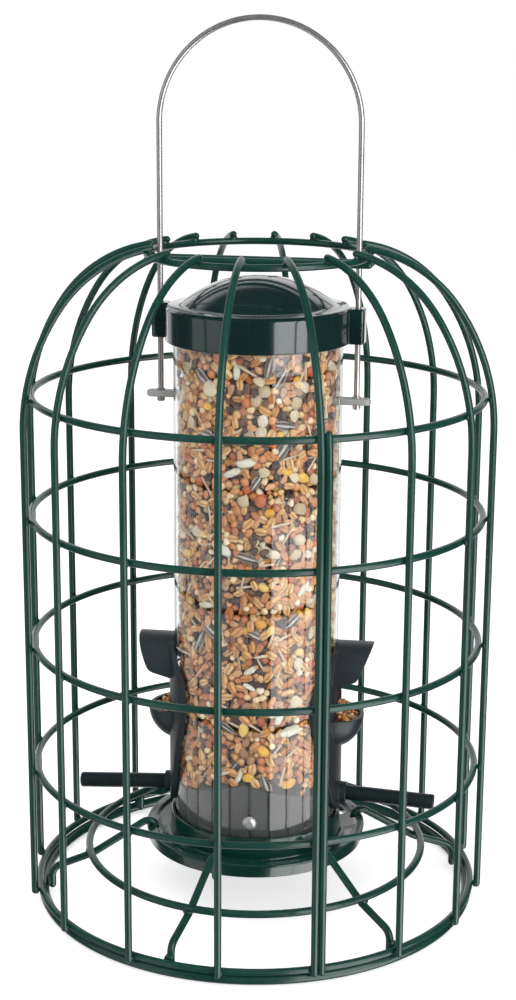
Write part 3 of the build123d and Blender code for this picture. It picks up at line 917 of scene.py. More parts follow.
@dataclass
class BaseFrame(Assembly):
    """The welded base: a heavy ring, a middle ring and six hooked spokes.

    Attributes:
        spoke: A spoke's centre line: each corner's reach, height and radius.
    """

    spoke_count: int = 6
    spoke_turn: float = 19.0
    heavy_wire: float = 2.15
    heavy_spans: int = 140
    heavy_sides: int = 22
    spoke_wire: float = 1.55
    base_corner: float = 2.4192
    mid_corner: float = 1.6495
    foot_bead: Point2 = (88.4, 5.2)
    foot_bead_size: Triple = (1.3, 2.3, 3.0)
    mid_bead_drop: float = 1.5
    mid_bead_size: Triple = (1.9, 2.0, 1.2)
    spoke: tuple[Triple, ...] = (
        (43.0, 20.6, 0.0),
        (43.0, 30.15, 2.4),
        (47.15, 30.15, 3.2),
        (69.51, 16.6, 15.0),
        (86.85, 10.9, 5.0),
        (86.85, 3.2, 0.0),
    )

    def build(self) -> None:
        """Builds the rings and the spokes."""
        turns = [self.spoke_turn + 60 * index for index in range(self.spoke_count)]
        maker, reach = MeshMaker(), ring_place("base_ring", self.base_corner)[0]
        path = circle(reach, self.heavy_wire, self.heavy_spans)
        maker.wire(path, self.heavy_wire, self.heavy_sides, closed=True)
        maker.beads(turns, self.foot_bead, self.foot_bead_size)
        self.shop.coated(maker, "base_heavy_ring", "base_ring")
        maker, (reach, height) = MeshMaker(), ring_place("base_mid_ring", self.mid_corner)
        maker.wire(circle(reach, height, RING_SPANS), self.spoke_wire, WIRE_SIDES, closed=True)
        maker.beads(turns, (reach, height - self.mid_bead_drop), self.mid_bead_size)
        self.shop.coated(maker, "base_middle_ring", "base_mid_ring")
        line = rounded(self.spoke, 8)
        for index, turn in enumerate(turns, 1):
            maker = MeshMaker()
            maker.wire(upright(line, turn), self.spoke_wire, WIRE_SIDES)
            self.shop.coated(maker, f"base_wire_spoke_{index}", f"base_spoke_{index}")


@dataclass(frozen=True)
class Holes:
    """Upright holes round the tray: their number, place and size.

    Attributes:
        turn: The first one's direction in degrees.
        reach: Distance from the axis to a hole's middle.
        radius: Half a hole's width, and the radius of its ends.
        half_length: Half its length across the direction of the axis.
    """

    count: int
    turn: float
    reach: float
    radius: float
    half_length: float

    def cut(self, maker: MeshMaker, low: float, high: float) -> None:
        """Adds a cutter for each hole.

        Args:
            maker: The cutters' maker.
            low: Height of their feet.
            high: Height of their tops.
        """
        stretch = self.half_length - self.radius
        for index in range(self.count):
            spin = about("Z", math.radians(self.turn + 360 / self.count * index))
            rings: list[list[Vector]] = []
            for height in (low, high):
                ring = circle(self.radius, height, 24)
                shifts = [Vector((self.reach, math.copysign(stretch, point.y), 0)) for point in ring]
                rings.append([spin @ (point + shift) for point, shift in zip(ring, shifts)])
            maker.skin(rings)


@dataclass
class DripTray(Assembly):
    """The round dish with its rolled lip, socket, drain slots and hook holes."""

    lip_radius: float = 46.5
    lip_top: float = 28.4
    lip_drop: float = 1.3
    lip_height: float = 5.6
    lip_fold: float = 0.8
    dish_slope: float = 1.6
    floor: float = 25.2
    wall: float = 1.7
    socket_bore: float = 34.5
    socket_radius: float = 35.7
    socket_top: float = 35.0
    holes: tuple[Holes, ...] = (Holes(6, 31.0, 39.4, 1.4, 3.5), Holes(6, 19.0, 43.0, 1.85, 1.85))

    def profile(self) -> list[Point2]:
        """The dish's section.

        Returns:
            Its points as reach and height.
        """
        lip, top, wall = self.lip_radius, self.lip_top, self.wall
        under, dish, skirt = self.floor - wall, top - self.lip_drop, top - self.lip_height
        corners = [
            (0.0, under, 0.0),
            (self.socket_radius + 0.6, under, 0.9),
            (self.socket_radius + 0.6, dish - self.dish_slope - wall, 0.6),
            (lip - wall, dish - wall, 0.5),
            (lip - wall - self.lip_fold, skirt, 0.3),
            (lip - self.lip_fold, skirt, 0.5),
            (lip, top, 0.8),
            (lip - 2 * wall, top, 0.6),
            (lip - 2 * wall - self.lip_drop, dish, 0.6),
            (self.socket_radius + 0.7, dish - self.dish_slope, 1.0),
            (self.socket_radius, self.socket_top, 0.6),
            (self.socket_bore, self.socket_top, 0.3),
            (self.socket_bore, self.floor, 0.3),
            (0.0, self.floor, 0.0),
        ]
        return rounded(corners, 4)

    def build(self) -> None:
        """Turns the dish and drills its holes."""
        maker, cutters = MeshMaker(), MeshMaker()
        maker.lathe(self.profile(), 144)
        for holes in self.holes:
            holes.cut(cutters, self.floor - 4 * self.wall, self.lip_top + 2 * self.wall)
        dish = maker.piece("tray_dish")
        drill(dish, cutters)
        self.shop.place(dish, Finish.TRAY, "green_plastic", "drip_tray")


@dataclass
class Lid(Assembly):
    """The cap: a skirt with a wide rounded rim, a sweep up into a dome, and two ears."""

    radius: float = 37.3
    foot: float = 235.6
    top: float = 249.7
    wall: float = 1.7
    inner_top: float = 248.0
    dome_radius: float = 30.9
    dome_top: float = 261.5
    dome_foot: float = 0.9
    sweep: tuple[Point2, ...] = ((0.7, 0.62), (1.5, 0.42), (2.4, 0.36))
    ear_reach: float = 43.2
    ear_half_width: float = 4.0
    ear_overlap: float = 1.1
    ear_soft: float = 0.9
    ear_points: int = 40
    leg_reach: float = 40.2
    leg_hole: float = 1.55

    def profile(self) -> list[Point2]:
        """The cap's section, from the axis outside and back inside.

        Returns:
            Its points as reach and height.
        """
        rise = self.dome_top - self.top - self.dome_foot
        ball = (self.dome_radius**2 + rise**2) / (2 * rise)
        end = math.degrees(math.asin(self.dome_radius / ball))
        dome = arc((0.0, self.dome_top - ball), ball, 90, 90 - end, 22)
        sweep = [(dome[-1][0] + x, self.top + y) for x, y in self.sweep]
        inside = self.radius - self.wall
        corners = [
            (self.radius - 4.0, self.top + 0.34, 0.0),
            (self.radius - 1.2, self.top, 0.6),
            (self.radius, self.top - 1.2, 1.2),
            (self.radius, self.foot, 0.45),
            (inside, self.foot, 0.45),
            (inside, self.inner_top, 1.2),
            (self.dome_radius - self.wall, self.inner_top, 1.5),
            (0.0, self.dome_top - self.wall - 3.0, 0.0),
        ]
        return dome + sweep + rounded(corners, 5)

    def build(self) -> None:
        """Turns the cap and adds its ears."""
        maker = MeshMaker()
        maker.lathe(self.profile(), 160)
        for side in (-1, 1):
            self._ear(maker, side)
        self.shop.place(maker.piece("lid_cap"), Finish.GREEN_GLOSS, "green_plastic", "lid", "lid")

    def _ear(self, maker: MeshMaker, side: int) -> None:
        """Adds one boxy ear, rounded at its top and foot, with a hole for the handle's leg.

        Args:
            maker: The cap's maker.
            side: 1 for the ear on +X, -1 for the other.
        """
        inner, soft = self.radius - self.ear_overlap, self.ear_soft
        middle, half = (self.ear_reach + inner) / 2, (self.ear_reach - inner) / 2
        steps = [(self.foot, soft * 0.7), (self.foot + 0.15, soft * 0.3), (self.foot + 0.6, 0.0)]
        for tilt in (0, 30, 60, 90):
            turn = math.radians(tilt)
            steps.append((self.top - soft * (1 - math.sin(turn)), soft * (1 - math.cos(turn))))
        rings = [self._oblong(side * middle, half - inset, height, inset) for height, inset in steps]
        shift = Vector((side * self.leg_reach, 0, 0))
        for height in (self.top - 0.1, self.foot + 0.1):
            rings.append([point + shift for point in circle(self.leg_hole, height, self.ear_points)])
        maker.skin(rings, joined=True)

    def _oblong(self, middle: float, half: float, height: float, inset: float) -> list[Vector]:
        """One rounded oblong of an ear's outline.

        Args:
            middle: Its middle along X.
            half: Half its length along X.
            height: Its height.
            inset: How far its sides lie inside the ear's widest outline.

        Returns:
            Its points.
        """
        ring: list[Vector] = []
        for x, y, _ in circle(1.0, 0.0, self.ear_points):
            reach = (abs(x / half) ** 7 + abs(y / (self.ear_half_width - inset)) ** 7) ** (-1 / 7)
            ring.append(Vector((middle + reach * x, reach * y, height)))
        return ring


@dataclass
class Handle(Assembly):
    """The bail handle of bent wire, with upset heads under the hanger bar.

    Attributes:
        head: Section of a head: each corner's reach, height over the foot and radius.
        collar: Section of the collar over the bar.
    """

    half_span: float = 40.2
    foot: float = 210.9
    straight_top: float = 320.462
    wire: float = 1.15
    head: tuple[Triple, ...] = ((0, -2.0, 0), (1.6, -2.0, 0.6), (1.6, 0, 0.25), (0, 0, 0))
    collar: tuple[Triple, ...] = ((0, 2.6, 0), (1.7, 2.6, 0.2), (1.7, 3.4, 0.3), (0, 3.4, 0))

    def build(self) -> None:
        """Bends the wire and adds its heads."""
        leg = [(self.half_span, self.foot + step) for step in (90, 60, 30, 0)]
        line = [(-reach, height) for reach, height in reversed(leg)]
        line += arc((0, self.straight_top), self.half_span, 180, 0, 48) + leg
        maker = MeshMaker()
        maker.wire(upright(line, 0), self.wire, 20)
        for side in (-1, 1):
            shift = Vector((side * self.half_span, 0, self.foot))
            for form in (rounded(self.head, 4), rounded(self.collar, 3)):
                rings = [circle(reach, height, 24) for reach, height in form]
                maker.skin([[point + shift for point in ring] for ring in rings], joined=True)
        self.shop.place(maker.piece("handle_bail"), Finish.STEEL, "handle_steel", "handle")


@dataclass
class KeptParts(Assembly):
    """The parts whose CAD form is shown, by finish."""

    finishes: tuple[tuple[Finish, tuple[str, ...]], ...] = (
        (Finish.PLUG, ("base_plug",)),
        (Finish.ALUMINIUM, ("base_screw", "rivet_front", "rivet_back")),
        (Finish.CHARCOAL, ("port_right", "port_left")),
        (Finish.PERCH, ("perch_right", "perch_left")),
        (Finish.PALE, ("hanger_bar",)),
        (Finish.CLEAR, ("seed_tube",)),
    )

    def build(self) -> None:
        """Gives each part a better material."""
        for finish, nodes in self.finishes:
            for node in nodes:
                self.shop.paint(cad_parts[node].data, finish)
                LOG.info("%s: kept from the CAD", node)


# ---- Seed

SEED_KINDS = (
    SeedKind(
        "milo", 3.6, 3.4, 3.1, 0.18, (srgb(158, 76, 36), srgb(208, 128, 72), srgb(238, 182, 122)),
        cuts=1, rise=-0.3, roughness=0.32,
    ),
    SeedKind(
        "wheat", 5.6, 3.2, 2.8, 0.22, (srgb(196, 122, 54), srgb(236, 176, 104), srgb(250, 214, 152)),
        Marking.CREASED, srgb(148, 84, 38), taper=0.35, crease=0.25, cuts=1, rise=-0.15, roughness=0.36,
    ),
    SeedKind(
        "pale", 3.0, 2.8, 2.6, 0.14, (srgb(222, 180, 124), srgb(248, 220, 174), srgb(255, 242, 214)),
        mark=srgb(140, 96, 60), cuts=2, roughness=0.36,
    ),
    SeedKind(
        "millet", 2.1, 2.0, 1.8, 0.24, (srgb(204, 144, 80), srgb(230, 182, 118), srgb(188, 96, 50)),
        rise=-0.6, roughness=0.35,
    ),
    SeedKind(
        "chip", 4.5, 3.2, 1.6, 0.12, (srgb(182, 108, 62), srgb(230, 176, 124), srgb(120, 78, 58)),
        taper=0.4, cuts=6, rise=0.3,
    ),
    SeedKind(
        "dark", 4.2, 2.6, 1.6, 0.09, (srgb(42, 20, 10), srgb(78, 42, 24), srgb(118, 76, 52)),
        cuts=3, rise=0.5,
    ),
    SeedKind(
        "flake", 6.2, 4.8, 1.7, 0.025, (srgb(196, 172, 136), srgb(222, 204, 172), srgb(232, 220, 198)),
        cuts=4, rise=0.95, roughness=0.6,
    ),
    SeedKind(
        "berry", 4.6, 4.2, 3.6, 0.008, (srgb(178, 78, 32), srgb(212, 116, 58)),
        cuts=1, rise=0.6, roughness=0.38,
    ),
    SeedKind(
        "maize", 5.2, 4.0, 2.6, 0.018, (srgb(220, 152, 26), srgb(240, 190, 66), srgb(246, 220, 140)),
        Marking.TIPPED, srgb(246, 232, 196), taper=0.5, cuts=3, roughness=0.32,
    ),
    SeedKind(
        "striped", 9.6, 4.0, 2.6, 0.014, (srgb(70, 60, 54), srgb(104, 92, 84)),
        Marking.STRIPED, srgb(206, 202, 196), taper=0.75, cuts=1, rise=0.4,
    ),
    SeedKind(
        "husk", 9.0, 1.1, 0.7, 0.05, (srgb(200, 176, 144), srgb(230, 214, 188)),
        taper=0.6, rise=0.4, roughness=0.6,
    ),
    SeedKind(
        "white", 8.2, 3.4, 2.4, 0.006, (srgb(222, 220, 200), srgb(240, 236, 222)),
        taper=0.3, cuts=1, roughness=0.4,
    ),
)


@dataclass(frozen=True)
class Landmark:
    """One seed with a place of its own.

    Attributes:
        turn: Its direction in degrees about the axis.
        size: Its scale.
        roll: How far its long side leans from upright, in degrees.
    """

    kind: str
    turn: float
    height: float
    size: float = 1.0
    roll: float = 60.0


@dataclass(frozen=True)
class Laid:
    """One seed at rest: its kind, its place with its scale, and its tone from 0 to 1."""

    kind: SeedKind
    place: Matrix
    tone: float


@dataclass(frozen=True)
class Forms:
    """The forms of one kind of seed.

    Attributes:
        shapes: Each form's points in millimetres, with the seed's flat side along X.
        own: Each point's place on the seed: along it and round it, from 0 to 1.
        faces: The faces, which all the forms share.
    """

    shapes: list[np.ndarray]
    own: np.ndarray
    faces: list[tuple[int, ...]]


@dataclass
class Spots:
    """Round spots that don't overlap."""

    taken: list[Triple]

    def claim(self, x: float, y: float, half: float) -> bool:
        """Takes a spot if it is free.

        Args:
            x: Its middle along X.
            y: Its middle along Y.
            half: Its radius.

        Returns:
            Whether it was free.
        """
        if any(math.hypot(x - a, y - b) < half + c for a, b, c in self.taken):
            return False
        self.taken.append((x, y, half))
        return True


@dataclass
class SeedBed(Assembly):
    """The mixed seed in the tube and in the cups, each seed a small mesh of its own.

    Attributes:
        layers: Each layer's depth behind the tube's wall and its number of seeds.
        room: Half the room that a seed takes, as a share of its mean width.
    """

    bore: float = 33.1
    top: float = 243.0
    foot_level: float = 50.0
    ridge: float = 57.9
    ridge_slope: float = 17.5
    port_turn: float = 2.6
    wall_gap: float = 0.12
    layers: tuple[Point2, ...] = ((0.0, 3650), (2.6, 2500))
    room: float = 0.47
    rounds: int = 14
    surface_depths: Point2 = (0.2, 1.9)
    surface_tries: int = 1800
    surface_room: float = 0.42
    core_depth: float = 4.6
    core_lift: float = 1.5
    bar_height: float = 212.2
    bar_gap: float = 2.4
    bar_half_width: float = 5.0
    seed: int = 41
    rings: int = 5
    sides: int = 8
    variants: int = 6
    cup_centre: Point2 = (31.4, 78.5)
    cup_radius: float = 12.4
    cup_rim: float = 78.7
    cup_slope: float = 24.9
    cup_depths: Point2 = (0.9, 2.4)
    cup_tries: int = 1400
    cup_room: float = 0.4
    cup_core_drop: float = 2.2
    plate_radius: float = 36.5
    mouth: Triple = (8.5, 71.5, 33.4)
    landmarks: tuple[Landmark, ...] = (
        Landmark("maize", -76.1, 126.1, 1.1),
        Landmark("maize", -46.5, 113.3, 0.9),
        Landmark("white", -51.9, 79.6, 1.45, 98.0),
        Landmark("striped", -100.6, 81.5, 0.8),
        Landmark("maize", -44.3, 184.9, 1.25),
        Landmark("white", -86.5, 192.2, 1.0, 96.0),
        Landmark("white", -97.1, 187.9, 1.0, -65.0),
        Landmark("berry", -125.0, 182.5),
        Landmark("flake", -114.9, 220.7, 1.3, 10.0),
        Landmark("striped", -64.0, 224.6, 1.1, -30.0),
        Landmark("berry", -38.8, 227.3),
        Landmark("flake", -136.3, 227.2),
        Landmark("flake", -78.3, 224.7, 0.9),
        Landmark("husk", -86.3, 228.9, 1.2),
        Landmark("white", -83.9, 99.8, 0.7),
        Landmark("striped", -112.4, 121.1),
        Landmark("husk", -101.2, 90.3, 1.1),
    )

    def __post_init__(self) -> None:
        """Starts the one source of chance."""
        self.rng = Random(self.seed)

    def build(self) -> None:
        """Fills the tube and both cups, one piece for each kind of seed."""
        forms = {kind.name: self._forms(kind) for kind in SEED_KINDS}
        self._core()
        laid: list[Laid] = []
        for depth, number in self.layers:
            marks = () if depth else self.landmarks
            laid += self._settle(self.bore - self.wall_gap - depth, number, marks)
        laid += self._surface()
        self._pieces("seed_fill_", "seed_fill", laid, forms)
        for turn, label in ((self.port_turn, "right"), (self.port_turn + 180, "left")):
            self._cup_core(turn, label)
            self._pieces(f"seed_cup_{label}_", f"seed_in_cup_{label}", self._heap(turn), forms)

    def foot(self, x: float, y: float) -> float:
        """Height of the plug's ridged top below a place, with a little air.

        Args:
            x: The place along X.
            y: The place along Y.

        Returns:
            The height.
        """
        turn = math.radians(self.port_turn)
        along = abs(x * math.cos(turn) + y * math.sin(turn))
        return self.ridge - along * math.tan(math.radians(self.ridge_slope))

    def _core(self) -> None:
        """Makes the mass behind the first layers, which stands for the seed deeper in; its dark colour is
        painted shade.
        """
        reach = self.bore - self.core_depth
        rings: list[list[Vector]] = []
        for share in (0.02, 0.3, 0.6, 0.9, 1.0):
            ring = circle(reach * share, 0.0, 72)
            rings.append([Vector((p.x, p.y, self.foot(p.x, p.y) + self.core_lift)) for p in ring])
        for share, drop in ((1.0, 4.0), (0.95, 3.2), (0.5, 2.8), (0.02, 2.6)):
            rings.append(circle(reach * share, self.top - drop, 72))
        maker = MeshMaker()
        maker.skin(rings)
        # The core's finish is painted shade, darker than any seed.
        self.shop.place(maker.piece("seed_fill_core"), Finish.HUSK_DARK, "seed", "seed_fill")

    def _pick(self, height: float) -> SeedKind:
        """Chooses a kind of seed for a height.

        Args:
            height: The height.

        Returns:
            The kind.
        """
        level = 2 * (height - self.foot_level) / (self.top - self.foot_level) - 1
        weights = [kind.share * max(0.02, 1 + kind.rise * level) for kind in SEED_KINDS]
        return self.rng.choices(SEED_KINDS, weights)[0]

    def _settle(self, reach: float, number: int, marks: Sequence[Landmark]) -> list[Laid]:
        """Spreads seeds over a cylinder until they lie beside each other.

        Args:
            reach: The cylinder's radius.
            number: How many seeds, beside the landmarks.
            marks: The landmarks among them.

        Returns:
            The seeds at rest.
        """
        rng = self.rng
        places = [upright([(reach, mark.height)], mark.turn)[0] for mark in marks]
        chosen = [next(kind for kind in SEED_KINDS if kind.name == mark.kind) for mark in marks]
        sizes = [mark.size for mark in marks]
        for _ in range(number):
            place = upright([(reach, 0.0)], rng.uniform(0, 360))[0]
            place.z = rng.uniform(self.foot(place.x, place.y) + 1.2, self.top - 1.4)
            places.append(place)
            chosen.append(self._pick(place.z))
            sizes.append(rng.uniform(0.84, 1.14))
        halves = [kind.half(self.room * size) for kind, size in zip(chosen, sizes)]
        self._relax(places, halves, reach, len(marks))
        laid: list[Laid] = []
        for index, (kind, size, place) in enumerate(zip(chosen, sizes, places)):
            if abs(place.y) < self.bar_half_width and abs(place.z - self.bar_height) < self.bar_gap:
                continue
            marked = index < len(marks)
            sunk = 0.0 if marked else 1.6 * rng.random() ** 2.5
            roll = math.radians(marks[index].roll if marked else rng.uniform(0, 360))
            lean = about("Y", rng.gauss(0, 0.14)) @ about("Z", rng.gauss(0, 0.14))
            stand = Matrix.Translation((reach - sunk - kind.thickness * size * 0.56, 0, place.z))
            turn = about("Z", math.atan2(place.y, place.x))
            matrix = turn @ stand @ lean @ about("X", roll) @ Matrix.Scale(size, 4)
            laid.append(Laid(kind, matrix, rng.random()))
        return laid

    def _relax(self, places: list[Vector], halves: list[float], reach: float, pinned: int) -> None:
        """Pushes seeds on a cylinder apart.

        Args:
            places: Their places, which change.
            halves: Half of the room that each one takes.
            reach: The cylinder's radius.
            pinned: How many of the first ones stay.
        """
        widest = max(halves)
        for _ in range(self.rounds):
            tree = KDTree(len(places))
            for index, place in enumerate(places):
                tree.insert(place, index)
            tree.balance()
            moved = [place.copy() for place in places]
            for index, place in enumerate(places[pinned:], pinned):
                for other, near, distance in tree.find_range(place, halves[index] + widest):
                    lack = halves[index] + halves[near] - distance
                    if near != index and lack > 0 and distance > 1e-6:
                        moved[index] += (place - other) / distance * lack * (0.8 if near < pinned else 0.4)
            for index in range(pinned, len(places)):
                x, y, height = moved[index]
                share = reach / math.hypot(x, y)
                low = self.foot(x * share, y * share) + 0.8 + 0.4 * halves[index]
                places[index] = Vector((x * share, y * share, min(max(height, low), self.top - 1.2)))

    def _surface(self) -> list[Laid]:
        """Lays the seeds on top of the fill, which show when the lid is up.

        Returns:
            The seeds at rest.
        """
        rng, reach = self.rng, self.bore - 1.0
        laid: list[Laid] = []
        for depth in self.surface_depths:
            spots = Spots([])
            for _ in range(self.surface_tries):
                kind, size = self._pick(self.top), rng.uniform(0.84, 1.1)
                half = kind.half(self.surface_room * size)
                x, y = rng.uniform(-reach, reach), rng.uniform(-reach, reach)
                if math.hypot(x, y) > reach - half or not spots.claim(x, y, half):
                    continue
                height = self.top - depth - kind.thickness * size * 0.6 - rng.uniform(0.0, 0.5)
                lay = about("Y", math.radians(-90) + rng.gauss(0, 0.12))
                roll = about("X", rng.uniform(0, 2 * math.pi))
                matrix = Matrix.Translation((x, y, height)) @ lay @ roll @ Matrix.Scale(size, 4)
                laid.append(Laid(kind, matrix, rng.random()))
        return laid

    def _forms(self, kind: SeedKind) -> Forms:
        """Makes uneven forms of one kind of seed.

        Args:
            kind: The kind of seed.

        Returns:
            The forms.
        """
        rng, rings, sides = self.rng, self.rings, self.sides
        points: list[Triple] = []
        own: list[Triple] = []
        for ring in range(rings + 1):
            along = ring / rings
            girth = math.sin(math.pi * along) ** 0.8 * (1 - kind.taper * 0.55 * (along - 0.35))
            for side in range(sides if 0 < ring < rings else 1):
                turn = 2 * math.pi * side / sides
                dent = 1 - kind.crease * max(0.0, math.cos(turn)) ** 6 * math.sin(math.pi * along)
                out = math.cos(turn) * girth * kind.thickness / 2 * dent
                wide = math.sin(turn) * girth * kind.width / 2
                points.append((out, wide, math.cos(math.pi * along) * kind.length / 2))
                own.append((along, (turn / (2 * math.pi) + 0.25) % 1.0, 0.0))
        last = len(points) - 1
        faces: list[tuple[int, ...]] = []
        for side in range(sides):
            after = (side + 1) % sides
            faces += [(0, 1 + after, 1 + side), (last - sides + side, last - sides + after, last)]
            for low in range(1, 1 + (rings - 2) * sides, sides):
                faces.append((low + side, low + after, low + sides + after, low + sides + side))
        shapes: list[np.ndarray] = []
        half = np.array((kind.thickness, kind.width, kind.length)) / 2
        for _ in range(self.variants):
            form = np.array(points) * [rng.uniform(0.88, 1.12) for _ in range(3)]
            for _ in range(3):
                wave = np.array([rng.gauss(0, 1) for _ in range(3)]) * 1.3 / half.mean()
                form = form * (1 + 0.05 * np.sin(form @ wave + rng.uniform(0, 6)))[:, None]
            for _ in range(kind.cuts):
                way = np.array([rng.gauss(0, 1) for _ in range(3)])
                way /= np.linalg.norm(way)
                limit = np.linalg.norm(half * way) * rng.uniform(0.6, 0.86)
                form = form - np.maximum(form @ way - limit, 0.0)[:, None] * way
            shapes.append(form)
        return Forms(shapes, np.array(own), faces)

    def _pieces(self, prefix: str, node: str, laid: list[Laid], forms: dict[str, Forms]) -> None:
        """Makes one piece of all the seeds of each kind.

        Args:
            prefix: Start of each piece's name.
            node: The CAD node that the pieces stand for.
            laid: The seeds at rest.
            forms: The forms of each kind.
        """
        for kind in SEED_KINDS:
            seeds = [seed for seed in laid if seed.kind is kind]
            if not seeds:
                continue
            form, points, faces = forms[kind.name], [], []
            for number, seed in enumerate(seeds):
                turned = np.array(seed.place)
                points.append(form.shapes[number % self.variants] @ turned[:3, :3].T + turned[:3, 3])
                faces += [tuple(index + number * len(form.own) for index in face) for face in form.faces]
            mesh = bpy.data.meshes.new(prefix + kind.name)
            mesh.from_pydata((np.concatenate(points) * MM).tolist(), [], faces)
            tints = np.repeat([seed.tone for seed in seeds], len(form.own)).astype(np.float32)
            mesh.attributes.new("tint", "FLOAT", "POINT").data.foreach_set("value", tints)
            own = np.tile(form.own, (len(seeds), 1)).astype(np.float32).ravel()
            mesh.attributes.new("own", "FLOAT_VECTOR", "POINT").data.foreach_set("vector", own)
            mesh.update()
            sharp = 42.0 if kind.cuts > 2 else 180.0
            self.shop.place(new_object(prefix + kind.name, mesh), kind, "seed", node, sharp=sharp)

    def _cup_wall(self, y: float, z: float) -> float:
        """How far out a port's plate reaches at a place: less where the port is open.

        Args:
            y: The place across the port.
            z: Its height.

        Returns:
            The reach.
        """
        half_width, sill, reach = self.mouth
        if abs(y) < half_width and z > sill:
            return reach
        return math.sqrt(self.plate_radius**2 - y**2)

    def _cup_top(self, x: float) -> float:
        """Height of the heap in a cup, by the distance from the cup's middle."""
        return self.cup_rim + (self.cup_radius - x) * math.tan(math.radians(self.cup_slope))

    def _cup_core(self, turn: float, label: str) -> None:
        """Makes the mass below the seeds of one cup, which stands for the seed under them; its dark colour is
        painted shade.

        Args:
            turn: The port's direction in degrees.
            label: The cup's name.
        """
        centre, middle = self.cup_centre
        reach = self.cup_radius - 0.5
        spin = about("Z", math.radians(turn))
        rings: list[list[Vector]] = []
        for share in (0.05, 0.4, 0.7, 0.9, 0.98):
            rings.append(circle(reach * share, middle - reach * math.sqrt(1 - share**2), 32))
        for share in (0.98, 0.6, 0.05):
            ring = circle(reach * share, 0.0, 32)
            rings.append([Vector((p.x, p.y, self._cup_top(p.x) - self.cup_core_drop)) for p in ring])
        for point in (point for ring in rings for point in ring):
            point.x = max(point.x + centre, self._cup_wall(point.y, point.z))
        maker = MeshMaker()
        maker.skin([[spin @ point for point in ring] for ring in rings])
        core = maker.piece(f"seed_cup_{label}_core")
        # The cup core's finish is painted shade, darker than any seed.
        self.shop.place(core, Finish.HUSK_DARK, "seed", f"seed_in_cup_{label}")

    def _heap(self, turn: float) -> list[Laid]:
        """Heaps seed in one cup.

        Args:
            turn: The port's direction in degrees.

        Returns:
            The seeds at rest.
        """
        rng, centre, wide = self.rng, self.cup_centre[0], self.cup_radius
        spin = about("Z", math.radians(turn))
        kinds = [kind for kind in SEED_KINDS if kind.length < 7]
        laid: list[Laid] = []
        for depth in self.cup_depths:
            spots = Spots([])
            for _ in range(self.cup_tries):
                kind = rng.choices(kinds, [item.share for item in kinds])[0]
                size = rng.uniform(0.8, 1.05)
                half = kind.half(self.cup_room * size)
                x, y = rng.uniform(1.5, wide), rng.uniform(-wide, wide)
                height = self._cup_top(x) - depth - kind.thickness * 0.35
                if math.hypot(x, y) > wide - half or x + centre < self._cup_wall(y, height) + half:
                    continue
                if not spots.claim(x, y, half):
                    continue
                lay = about("Y", math.radians(90 + self.cup_slope) + rng.gauss(0, 0.25))
                lean = about("Z", rng.gauss(0, 0.3)) @ about("X", rng.uniform(0, 6.3))
                stand = Matrix.Translation((centre + x, y, height))
                laid.append(Laid(kind, spin @ stand @ lay @ lean @ Matrix.Scale(size, 4), rng.random()))
        return laid


# ---- Studio


@dataclass(frozen=True)
class Panel:
    """A soft upright panel of light that faces the feeder.

    Attributes:
        turns: Directions of its two sides in degrees about the axis.
        heights: Its foot and its top.
        level: Its brightness, where 1 is white.
    """

    name: str
    turns: Point2
    heights: Point2
    level: float


